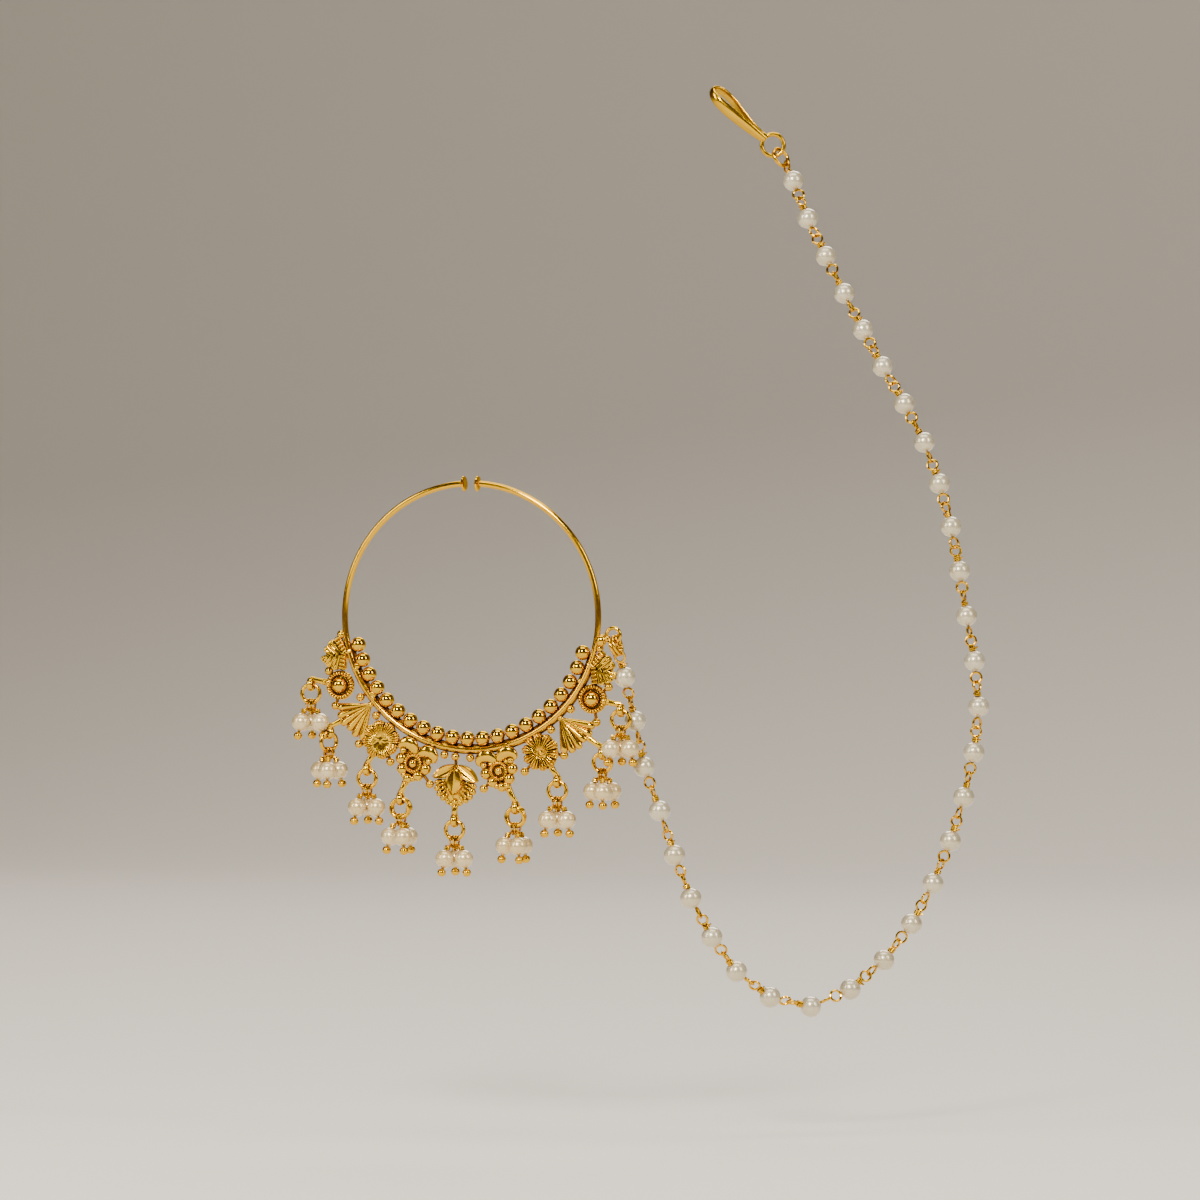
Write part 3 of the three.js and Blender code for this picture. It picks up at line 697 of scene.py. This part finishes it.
def fan(piece, place):
    """A fan of tapered rays that spread from beside the wire, thinner ones lying between them."""
    rays = 6
    for i in range(rays):
        angle = 35 - 70 * i / (rays - 1)
        length = 7.15 + 0.25 * math.sin(2.1 * i + 0.6)
        points = [
            (0, 0, 0.2), (0, 1.6, 0.3), (0, length * 0.6, 0.38), (0, length * 0.88, 0.36),
            (0, length * 0.97, 0.28), (0, length, 0.2),
        ]
        wide = [0.45, 0.72, 1.25, 1.62, 1.35, 0.7]
        high = [0.8, 1.0, 1.25, 1.35, 1.05, 0.6]
        ray = sweep(points, high, wide, steps=4, sides=16, square=1.25)
        piece.add(ray, place, turned_by(angle))
    for i in range(rays - 1):
        angle = 27.2 - 68 * i / (rays - 1)
        points = [(0, 2.0, 0.0), (0, 4.4, 0.12), (0, 6.1, 0.08)]
        ray = sweep(points, [0.3, 0.5, 0.4], [0.2, 0.5, 0.6], steps=3, sides=8)
        piece.add(ray, place, turned_by(angle))

    def backing(across, along):
        angle = math.radians(36) * across
        reach = 0.2 + 6.3 * along
        return Vector((reach * math.sin(angle), reach * math.cos(angle), -0.12))
    piece.add(relief(16, 8, backing), place)
    piece.add(ball(1.3, 16, 10), place, shift(0, 0.1, 0.15), sized(1, 1, 0.9))


def daisy(piece, place, ribs, scallops, dish, dip, aside):
    """A flower of many thin ribs round a hammered dish, its edge gathered into scallops."""
    edge = 3.5

    def form(radius, height, angle):
        if height < -0.45 or radius < 0.01:
            return radius, height
        reach = dish * (1 + aside * math.cos(angle - 2.4))
        share = min(1.0, max(0.0, (radius - reach * 0.85) / (edge - reach * 0.85)))
        rib = bars(ribs, angle, 1.5)
        lobe = abs(math.cos(scallops / 2 * angle)) ** 0.6 - 0.6
        grow = 1 + share ** 2 * (0.20 * lobe + 0.015 * rib)
        lift = min(1.0, share * 3.5) * (4.6 / ribs * rib + 0.55 * lobe * share)
        spot = Vector((radius * math.cos(angle), radius * math.sin(angle), ribs))
        hammer = 0.09 * noise.noise(spot * 2.4) * (1 - share)
        sink = dip * (1 - share) * bump_at(radius / reach, 0, 0.9)
        return radius * grow, height + lift + hammer - sink

    top = CAST_FACE + 0.35
    profile = [
        (0, top), (0.35, top), (0.7, top), (1.05, top), (1.4, top), (1.75, top), (2.1, top), (2.4, top),
        (2.7, top), (2.95, top - 0.04), (3.15, top - 0.16), (3.32, top - 0.42), (3.38, top - 0.9),
        (3.2, CAST_BACK), (0, CAST_BACK),
    ]
    piece.add(turned(profile, ribs * 8, form), place)


def left_daisy(piece, place):
    daisy(piece, place @ sized(1.09, 1.09, 1), ribs=40, scallops=8, dish=1.9, dip=0.10, aside=0.28)


def right_daisy(piece, place):
    daisy(piece, place @ sized(1.05, 1.05, 1), ribs=30, scallops=10, dish=0.8, dip=0.55, aside=0.1)


def horned_flower(piece, place):
    """Two curled horns over a small notched flower, with balls round it."""
    notches = 22

    def form(radius, height, angle):
        rope = bump_at(radius, 1.72, 0.28) if height > -0.3 else 0.0
        wave = bars(notches, angle)
        return radius + 0.04 * wave * rope, height + 0.11 * wave * rope

    profile = [
        (0, 1.28), (0.3, 1.24), (0.58, 1.08), (0.76, 0.80), (0.82, 0.46), (0.90, 0.20), (1.02, 0.16),
        (1.16, 0.42), (1.30, 0.78), (1.46, 0.96), (1.64, 0.94), (1.84, 0.78), (1.98, 0.46), (2.02, 0.1),
        (1.9, CAST_BACK), (0, CAST_BACK),
    ]
    piece.add(turned(profile, notches * 8, form), place, shift(0, 0.1))
    for hand in (1, -1):
        horn = [
            (hand * 0.35, -1.6, 0.1), (hand * 0.85, -2.5, 0.2), (hand * 1.65, -3.2, 0.3),
            (hand * 2.6, -3.35, 0.32), (hand * 3.5, -2.75, 0.26), (hand * 3.72, -2.05, 0.2),
            (hand * 3.45, -1.6, 0.15),
        ]
        wide = [1.0, 2.05, 2.65, 2.6, 2.0, 1.25, 0.6]
        high = [0.7, 1.2, 1.6, 1.7, 1.4, 1.0, 0.6]
        piece.add(sweep(horn, high, wide, steps=6, sides=18, square=0.9, side=UP), place)
        piece.add(ball(1.4, 18, 12), place, shift(hand * 2.85, -1.5, 0.35))
        piece.add(ball(2.3, 24, 14), place, shift(hand * 2.75, 0.15, 0.0), sized(1, 1.05, 0.9))
        piece.add(ball(2.25, 24, 14), place, shift(hand * 1.75, 2.0, 0.0), sized(1, 1, 0.9))
        piece.add(ball(1.3, 16, 10), place, shift(hand * 1.0, 2.95, 0.0))
    piece.add(ball(1.9, 22, 12), place, shift(0, 3.3, 0.0), sized(1, 1.1, 0.95))
    web = turned([(0, 0.0), (2.6, -0.05), (2.9, -0.3), (2.7, WEB_BACK), (0, WEB_BACK)], 28)
    piece.add(web, place, shift(0, -0.4), sized(1, 1.05, 1))


def lotus_leaf(length, half_width):
    """A dished leaf with a raised rim, one half of it higher than the other."""
    def form(across, along):
        outline = math.sin(math.pi * min(1.0, 0.03 + 0.94 * along)) ** 0.8
        half = half_width * max(0.06, outline)
        rim = bump_at(abs(across), 0.88, 0.14)
        height = CAST_FACE + 0.18 + 0.26 * rim - 0.14 * (1 - abs(across)) + 0.10 * math.tanh(across * 7)
        height -= 0.45 * max(0.0, (abs(across) - 0.93) / 0.07)
        return Vector((across * half, along * length, height))
    return relief(28, 30, form)


def lotus(piece, place):
    """A lotus: two side leaves and a middle petal over a pleated bell."""
    for hand in (1, -1):
        piece.add(lotus_leaf(5.25, 1.18), place, shift(hand * 0.1, -2.95, 0.15), turned_by(-hand * 57))

    def petal(across, along):
        outline = math.sin(math.pi * (0.02 + 0.95 * along ** 0.9) ** 1.12) ** 0.8
        half = 1.9 * max(0.05, outline)
        rim = bump_at(abs(across), 0.90, 0.10)
        ridge = 0.78 * (1 - abs(across))
        height = CAST_FACE + 0.22 + 0.30 * rim + ridge - 0.5 * max(0.0, (abs(across) - 0.94) / 0.06)
        return Vector((across * half, -2.65 + 5.6 * along, height))
    piece.add(relief(36, 32, petal), place, shift(0, 0, 0.22))

    def bell(across, along):
        low = max(0.0, along - 0.25) / 0.75
        width = lerp(3.3, 3.7, min(1, along * 4)) * math.sqrt(max(0.05, 1 - low ** 1.7))
        lumps = 0.09 * math.sin(9 * across + 4 * along) * math.sin(7 * along + 3 * across)
        height = CAST_FACE - 0.05 - 0.45 * across ** 2 - 0.2 * along + lumps * min(1, 3 * along)
        return Vector((across * width, 0.1 + 4.9 * along, height))
    piece.add(relief(28, 34, bell), place)
    pleats = ((2.15, 0.15, 1.4), (2.3, 0.85, 1.2), (2.2, 1.6, 1.1), (1.9, 2.3, 1.1), (1.3, 2.9, 0.9))
    lumps = ((3.6, 0.75, 1.5), (3.55, 1.85, 1.65), (3.05, 2.85, 1.6), (2.35, 3.65, 1.4), (1.3, 4.3, 1.3))
    for hand in (1, -1):
        for i, (x, y, length) in enumerate(pleats):
            bar = [(0, -0.3, 0.2), (0, length * 0.4, 0.5), (0, length * 0.85, 0.45), (0, length, 0.2)]
            pleat = sweep(bar, [0.45, 0.6, 0.6, 0.35], [0.42, 0.5, 0.5, 0.35], steps=3, sides=10)
            piece.add(pleat, place, shift(hand * x, y, 0.1), turned_by(-hand * (68 - 9 * i)))
        for i, (x, y, size) in enumerate(lumps):
            step = shift(hand * x, y, -0.05 * i) @ turned_by(hand * (25 + 15 * i))
            piece.add(ball(size, 18, 12), place, step, sized(1.15, 0.8, 0.85))
    piece.add(ball(1.5, 18, 12), place, shift(0, 4.85, -0.1), sized(1.5, 0.7, 0.8))


# The castings: how each is made, its degrees round the hoop, and how far its middle is out of the wire.
CASTINGS = {
    "left_leaf": (left_leaf, 74.6, 3.0),
    "left_rosette": (rosette, 63.3, 4.3),
    "left_fan": (fan, 49.9, 0.9),
    "left_daisy": (left_daisy, 37.3, 4.5),
    "left_horns": (horned_flower, 22.3, 5.1),
    "lotus": (lotus, 5.5, 6.2),
    "right_horns": (horned_flower, -10.9, 4.6),
    "right_daisy": (right_daisy, -28.7, 4.0),
    "right_fan": (fan, -43.0, 0.9),
    "right_rosette": (rosette, -57.4, 3.5),
    "right_leaf": (right_leaf, -69.1, 3.0),
}


def castings():
    for name, (make, angle, out) in CASTINGS.items():
        piece = Piece(name, CAST_GOLD, "gold", "nose_ring")
        make(piece, hoop_place(angle, out))
        piece.done()


# How far each kind of casting reaches towards its drop.
CASTING_EDGES = {"rosette": 2.8, "fan": 5.9, "daisy": 3.2, "horns": 3.9, "lotus": 4.7}

# The drops: the casting that carries each, where its jump ring's middle hangs, how far the ring is
# turned, how its pearls stand round it, and how many times the ring's wire goes round.
DROPS = [
    ("left_rosette", 65.2, 10.6, 0, 105, 1), ("left_fan", 49.9, 12.6, 55, 283, 1),
    ("left_daisy", 33.9, 12.6, 0, 105, 1), ("left_horns", 21.1, 14.5, 0, 182, 2),
    ("lotus", 4.6, 16.1, 0, 105, 1), ("right_horns", -13.2, 14.3, 0, 182, 2),
    ("right_daisy", -27.6, 12.35, 0, 105, 1), ("right_fan", -43.6, 13.15, 0, 288, 1),
    ("right_rosette", -57.0, 10.6, 0, 342, 1),
]


def straps():
    """The cast tabs under the castings, each with an eyelet that stands across its jump ring."""
    piece = Piece("straps", CAST_GOLD, "gold", "nose_ring")
    for carrier, angle, out, turn, _, _ in DROPS:
        middle = hoop_place(angle, out).translation + UP * DROP_RING_RADIUS
        hub = hoop_place(*CASTINGS[carrier][1:]).translation
        top = middle + UP * (EYE_HOLE + EYELET_WIRE) / 2
        edge = CASTING_EDGES[carrier.split("_")[-1]] / (top - hub).length
        start = hub.lerp(top, min(0.75, edge - 0.15)) - FRONT * 0.1
        collar = hub.lerp(top, min(0.85, edge + 0.08))
        tab = [start, collar, collar.lerp(top, 0.55) + FRONT * 0.15, top + UP * 0.05]
        deep = [1.0, 1.0, 0.85, 0.8]
        wide = [1.5, 1.25, 1.05, 1.2]
        piece.add(sweep(tab, deep, wide, steps=5, sides=14, square=0.7, side=FRONT))
        hole_way = turned_by(turn) @ Vector((1, 0, 0))
        eyelet = ring(EYE_HOLE + 2 * EYELET_WIRE, EYELET_WIRE, 30, 12)
        piece.add(eyelet, facing(middle, hole_way), sized(1, 1, 1.7))
        piece.add(ball(1.4, 16, 10), facing(collar, top - hub), sized(1, 1, 0.6))
        lump = start.lerp(collar, 0.4) + FRONT * 0.1
        piece.add(ball(1.6, 16, 10), facing(lump, top - hub), sized(1, 1, 0.8))
    piece.done()


def jump_rings():
    for number, (_, angle, out, turn, _, rounds) in enumerate(DROPS, 1):
        piece = Piece(f"jump_ring_{number}", WIRE_GOLD, "wire_gold", f"drop_ring_{number}")
        middle = hoop_place(angle, out).translation
        face = turned_by(turn) @ FRONT
        turns = 1.0 if rounds == 1 else rounds + 0.08
        pitch = 0 if rounds == 1 else DROP_RING_WIRE * 0.98
        wire = ring(DROP_RING_WIDTH, DROP_RING_WIRE, 40, 12, turns, pitch)
        piece.add(wire, facing(middle, face, UP), turned_by(160 + 25 * number))
        piece.done()


def drop_pearls():
    """Three pearls a drop, each on its own headed pin with an eye round the jump ring."""
    for number, (_, angle, out, turn, stand, _) in enumerate(DROPS, 1):
        middle = hoop_place(angle, out).translation
        along_ring = turned_by(turn) @ Vector((1, 0, 0))
        lean = math.radians(PIN_LEAN)
        pearls = Piece(f"pearls_{number}", PEARL, "pearl", f"drop_pearls_{number}")
        pins = Piece(f"pins_{number}", WIRE_GOLD, "wire_gold", f"drop_pearls_{number}")
        ways = [math.radians(stand + 120 * k) for k in range(3)]
        sides = [Vector((math.cos(way), math.sin(way), 0)) for way in ways]
        order = sorted(sides, key=along_ring.dot)
        for k, side in enumerate(sides):
            axis = side * math.sin(lean) - UP * math.cos(lean)
            pearl = middle + side * DROP_SPREAD - UP * DROP_LENGTH
            pearls.add(ball(DROP_PEARL, 36, 22), facing(pearl, axis), sized(1, 1, PEARL_HEIGHT))
            seat = along_ring * EYE_STEP * (order.index(side) - 1)
            eye = middle + seat - UP * (DROP_RING_RADIUS + 0.28)
            wire = ring(EYE_HOLE + 2 * PIN_WIRE + 0.1, PIN_WIRE, 26, 8)
            pins.add(wire, facing(eye, along_ring + side * 0.12, UP))
            top = pearl - axis * (DROP_PEARL / 2)
            neck = eye - UP * 0.95
            bend = neck.lerp(top - axis * 0.7, 0.55)
            shank = [neck + UP * 0.12, bend, top - axis * 0.6, top + axis * 0.5]
            pins.add(sweep(shank, PIN_WIRE, steps=4, sides=8))
            low_wrap = ring(1.22, 0.36, 16, 8, 2.4, 0.34)
            pins.add(low_wrap, facing(top - axis * 0.32, axis), turned_by(97 * k))
            high_wrap = ring(1.0, 0.34, 16, 8, 1.6, 0.3)
            pins.add(high_wrap, facing(neck, top - neck), turned_by(60 * k))
            foot = pearl + axis * (DROP_PEARL / 2)
            pins.add(sweep([foot - axis * 0.5, foot + axis * 0.5], PIN_WIRE + 0.1, steps=2, sides=8))
            pins.add(ball(PIN_HEAD, 22, 14), facing(foot + axis * 0.88, axis), sized(1, 1, 0.94))
        pearls.done()
        pins.done()


def link_step(width_a, wire_a, width_b, wire_b):
    """How far apart the middles of two linked rings lie."""
    return width_a / 2 - wire_a + width_b / 2 - wire_b - LINK_SLACK


LOOP_TO_RING = link_step(LOOP_WIDTH, LOOP_WIRE, DOUBLE_RING_WIDTH, DOUBLE_RING_WIRE)
RING_TO_CHAIN = link_step(DOUBLE_RING_WIDTH, DOUBLE_RING_WIRE, CHAIN_EYE, CHAIN_WIRE)
CHAIN_TO_LINK = link_step(CHAIN_EYE, CHAIN_WIRE, HOOK_LINK_LENGTH, HOOK_LINK_WIRE)
LINK_TO_HOOK = link_step(HOOK_LINK_LENGTH, HOOK_LINK_WIRE, HOOK_EYE_WIDTH, HOOK_EYE_WIRE)
LOOP_MIDDLE = hoop_place(LOOP_ANGLE, LOOP_OUT).translation
DOUBLE_RING_MIDDLE = LOOP_MIDDLE + CHAIN_HANG * LOOP_TO_RING
CHAIN_START = DOUBLE_RING_MIDDLE + CHAIN_HANG * RING_TO_CHAIN
CHAIN_POINTS = [CHAIN_START] + [LOOP_MIDDLE + Vector(point) for point in CHAIN_ROUTE]
CHAIN_END = CHAIN_POINTS[-1]
LINK_FACE = (HOOK_EYE_FACE - LINK_AIM * HOOK_EYE_FACE.dot(LINK_AIM)).normalized()
LINK_FACE = Matrix.Rotation(math.radians(LINK_TURN), 3, LINK_AIM) @ LINK_FACE
LINK_SIDE = LINK_AIM.cross(LINK_FACE)
LINK_MIDDLE = CHAIN_END + LINK_AIM * CHAIN_TO_LINK
HOOK_MIDDLE = LINK_MIDDLE + LINK_AIM * LINK_TO_HOOK


def chain_loop():
    """The cast lump at the hoop's side, its small ball and the fixed loop that carries the chain."""
    piece = Piece("chain_loop", CAST_GOLD, "gold", "nose_ring")
    piece.add(ball(2.6, 24, 14), hoop_place(LUMP_ANGLE, 1.0), sized(1, 0.85, 0.85))
    piece.add(ball(1.5, 16, 10), hoop_place(LUMP_ANGLE + 3.2, 1.1, 0.25))
    piece.add(ball(1.4, 16, 10), hoop_place(LUMP_ANGLE - 1.2, 2.2, 0.1))
    piece.add(ring(LOOP_WIDTH, LOOP_WIRE, 36, 12), facing(LOOP_MIDDLE, FRONT))
    piece.done()


def double_ring():
    piece = Piece("double_ring", WIRE_GOLD, "wire_gold", "chain_ring")
    normal = CHAIN_HANG.cross(FRONT)
    wire = ring(DOUBLE_RING_WIDTH, DOUBLE_RING_WIRE, 36, 12, 2.06, DOUBLE_RING_WIRE * 1.02)
    piece.add(wire, facing(DOUBLE_RING_MIDDLE, normal, CHAIN_HANG), turned_by(120))
    piece.done()


def chain_eye(wires, skin, way, normal, wrapped, reach):
    """An eye that starts at a pearl's skin. reach is how far it goes, where its own width isn't meant."""
    begin = WRAP_LENGTH if wrapped else -0.1
    width = WRAPPED_EYE if wrapped else PLAIN_EYE
    length = width if reach is None else reach - begin
    stretch = (length - CHAIN_WIRE) / (width - CHAIN_WIRE)
    eye = skin + way * (begin + length / 2)
    wires.add(ring(width, CHAIN_WIRE, 30, 8), facing(eye, normal, way), sized(stretch, 1, 1))


def chain_wrap(wires, skin, way, tail, turn):
    """The coils that close a wrapped eye, wound tight against the pearl, and the wire's short tail."""
    stem = [skin - way * 0.4, skin + way * (WRAP_LENGTH + 0.2)]
    wires.add(sweep(stem, CHAIN_WIRE, steps=2, sides=8))
    coils = ring(WRAP_WIDTH, WRAP_WIRE, 16, 8, 2.5, 0.36)
    wires.add(coils, facing(skin + way * 0.40, way), turned_by(turn))
    stub = skin + way * 0.45
    end = [stub + tail * 0.35, stub + tail * 0.75, stub + tail * 1.15 + way * 0.15]
    wires.add(sweep(end, 0.36, steps=2, sides=8))


def chain():
    """The chain: each pearl on its own wire, with a plain eye at one end and a wrapped one at the other.

    The wires of every second pearl stand across those of the others.
    """
    line = smooth_line(CHAIN_POINTS, 40)
    pearls = even_points(line, [(i + 0.5) / CHAIN_PEARLS for i in range(CHAIN_PEARLS)])
    beads = Piece("chain_pearls", CHAIN_PEARL_SKIN, "pearl", "pearl_chain")
    wires = Piece("chain_wires", WIRE_GOLD, "wire_gold", "pearl_chain")
    for i, pearl in enumerate(pearls):
        before = pearls[i - 1] if i else CHAIN_START
        after = pearls[i + 1] if i + 1 < CHAIN_PEARLS else CHAIN_END
        hole = (after - before).normalized()
        bead = ball(CHAIN_PEARL, 32, 20)
        beads.add(bead, facing(pearl, hole), turned_by(47 * i), sized(1, 1, PEARL_HEIGHT))
        wrapped_end = -1 if i < CHAIN_TURN else 1
        twist = (72 if i % 2 else 14) + 16 * math.sin(1.7 * i)
        face = (FRONT - hole * FRONT.dot(hole)).normalized()
        face = Matrix.Rotation(math.radians(twist), 3, hole) @ face
        for end, other, outermost in ((-1, before, i == 0), (1, after, i + 1 == CHAIN_PEARLS)):
            way = (other - pearl).normalized()
            skin = pearl + way * CHAIN_PEARL / 2
            normal = face
            reach = None
            if outermost:
                normal = FRONT if end < 0 else LINK_SIDE
                reach = (other - skin).length + CHAIN_EYE / 2
            normal = (normal - way * normal.dot(way)).normalized()
            chain_eye(wires, skin, way, normal, end == wrapped_end, reach)
            if end == wrapped_end:
                tail = normal.cross(way) * (1 if i % 2 else -1)
                chain_wrap(wires, skin, way, tail, 63 * i)
    beads.done()
    wires.done()


def hook_link():
    piece = Piece("oval_link", WIRE_GOLD, "wire_gold", "hook_link")
    place = Matrix((LINK_SIDE, LINK_AIM, LINK_FACE)).transposed().to_4x4()
    place.translation = LINK_MIDDLE
    narrow = (HOOK_LINK_WIDTH - HOOK_LINK_WIRE) / (HOOK_LINK_LENGTH - HOOK_LINK_WIRE)
    piece.add(ring(HOOK_LINK_LENGTH, HOOK_LINK_WIRE, 40, 12), place, sized(narrow, 1, 1))
    piece.done()


def hook():
    """The hook: a strip bent back on itself, its front leg domed, on a ring of heavier wire."""
    to_back = (HOOK_BACK - HOOK_AIM * HOOK_BACK.dot(HOOK_AIM)).normalized()
    place = Matrix((HOOK_AIM, to_back, HOOK_AIM.cross(to_back))).transposed().to_4x4()
    place.translation = HOOK_MIDDLE
    piece = Piece("bent_hook", HOOK_GOLD_SHADED_INSIDE, "gold", "chain_hook")
    strip = [
        (2.0, -0.35, 0), (3.6, -0.5, 0), (6.0, -0.62, 0), (9.0, -0.78, 0), (12.0, -0.8, 0),
        (14.6, -0.52, 0), (16.2, 0.25, 0), (16.85, 1.35, 0), (16.2, 2.55, 0), (14.6, 3.15, 0),
        (12.0, 2.85, 0), (9.0, 1.75, 0), (6.0, 0.85, 0), (4.0, 0.5, 0), (2.4, 0.4, 0),
    ]
    wide = [1.7, 2.0, 2.4, 2.6, 2.65, 2.4, 2.0, 1.9, 1.9, 2.0, 2.0, 1.9, 1.7, 1.6, 1.6]
    thick = [1.2, 1.35, 1.5, 1.6, 1.55, 1.35, 1.05, 0.8, 0.7, 0.6, 0.6, 0.6, 0.6, 0.6, 0.6]
    piece.add(sweep(strip, wide, thick, steps=7, sides=28, square=1.05, side=UP), place)
    neck = [(1.9, 0.05, 0), (2.8, 0.05, 0), (4.2, 0.02, 0)]
    piece.add(sweep(neck, [1.9, 1.9, 1.4], [1.35, 1.4, 0.9], steps=4, sides=16, square=0.8, side=UP), place)
    spots = ((2.5, -0.55, 0.1, 1.3), (3.6, -0.75, -0.35, 0.8), (3.5, -0.8, 0.45, 0.7))
    for along, level, across, size in spots:
        piece.add(ball(size, 14, 10), place, shift(along, level, across), sized(1.1, 0.7, 1))
    piece.add(ring(HOOK_EYE_WIDTH, HOOK_EYE_WIRE, 48, 14), facing(HOOK_MIDDLE, HOOK_EYE_FACE))
    piece.done()


def away_from(azimuth, elevation):
    """The way that points off to these degrees to the right of the front and up."""
    a = math.radians(azimuth)
    e = math.radians(elevation)
    return Vector((math.sin(a) * math.cos(e), -math.cos(a) * math.cos(e), math.sin(e)))


def stand_at(name, data, target, way, distance):
    """Puts a light or a camera out along the way from its target, and turns it to face the target."""
    made = bpy.data.objects.new(name, data)
    bpy.context.scene.collection.objects.link(made)
    made.location = target + way * distance
    made.rotation_mode = "QUATERNION"
    made.rotation_quaternion = way.to_track_quat("Z", "Y")
    return made


def pale_floor():
    """A pale floor that bends up into a wall far behind."""
    half_width = 3.0
    front, back, bend, top = -2.5, 0.9, 0.7, 3.0
    line = [(front, 0.0)]
    for degrees in range(0, 91, 6):
        turn = math.radians(degrees)
        line.append((back + bend * math.sin(turn), bend * (1 - math.cos(turn))))
    line.append((back + bend, top))
    shape = bmesh.new()
    verts = [shape.verts.new((-half_width, y, FLOOR_HEIGHT + z)) for y, z in line]
    edges = [shape.edges.new(pair) for pair in zip(verts, verts[1:])]
    made = bmesh.ops.extrude_edge_only(shape, edges=edges)["geom"]
    moved = [part for part in made if isinstance(part, bmesh.types.BMVert)]
    bmesh.ops.translate(shape, vec=(2 * half_width, 0, 0), verts=moved)
    bmesh.ops.recalc_face_normals(shape, faces=shape.faces)
    mesh = bpy.data.meshes.new("floor")
    shape.to_mesh(mesh)
    shape.free()
    mesh.shade_smooth()
    mesh.materials.append(Finish("pale_floor", Roughness=0.85, Base_Color=FLOOR_COLOUR).material)
    floor = bpy.data.objects.new("floor", mesh)
    bpy.context.scene.collection.objects.link(floor)


def room():
    """The dim warm room that the gold mirrors between the windows."""
    world = bpy.data.worlds.new("room")
    bpy.context.scene.world = world
    world.use_nodes = True
    nodes = world.node_tree.nodes
    links = world.node_tree.links
    way = nodes.new("ShaderNodeTexCoord")
    parts = nodes.new("ShaderNodeSeparateXYZ")
    ramp = nodes.new("ShaderNodeValToRGB")
    for element, (place, colour) in zip(ramp.color_ramp.elements, ROOM_COLOURS):
        element.position = place
        element.color = colour
    links.new(way.outputs["Generated"], parts.inputs[0])
    links.new(parts.outputs["Z"], ramp.inputs["Fac"])
    links.new(ramp.outputs["Color"], nodes["Background"].inputs["Color"])
    nodes["Background"].inputs["Strength"].default_value = 1.0


def windows():
    """Soft windows in front, on both sides, above and behind."""
    for name, azimuth, elevation, distance, width, height, watts in WINDOWS:
        light = bpy.data.lights.new(name, "AREA")
        light.shape = "RECTANGLE"
        light.size = width
        light.size_y = height
        light.energy = watts
        light.color = WINDOW_COLOUR
        stand_at(name, light, WINDOW_AIM, away_from(azimuth, elevation), distance)


def camera():
    """The photograph's view; its frame of 1200 by 1200 is not set here."""
    data = bpy.data.cameras.new("camera")
    data.sensor_width = 36
    data.lens = 36 * VIEW_DISTANCE / VIEW_WIDTH
    data.clip_start = 0.05
    data.clip_end = 50
    way = away_from(VIEW_AZIMUTH, VIEW_ELEVATION)
    bpy.context.scene.camera = stand_at("camera", data, VIEW_TARGET, way, VIEW_DISTANCE)


camera()
hoop()
balls()
seam()
granules()
castings()
straps()
chain_loop()
jump_rings()
drop_pearls()
double_ring()
chain()
hook_link()
hook()
pale_floor()
room()
windows()
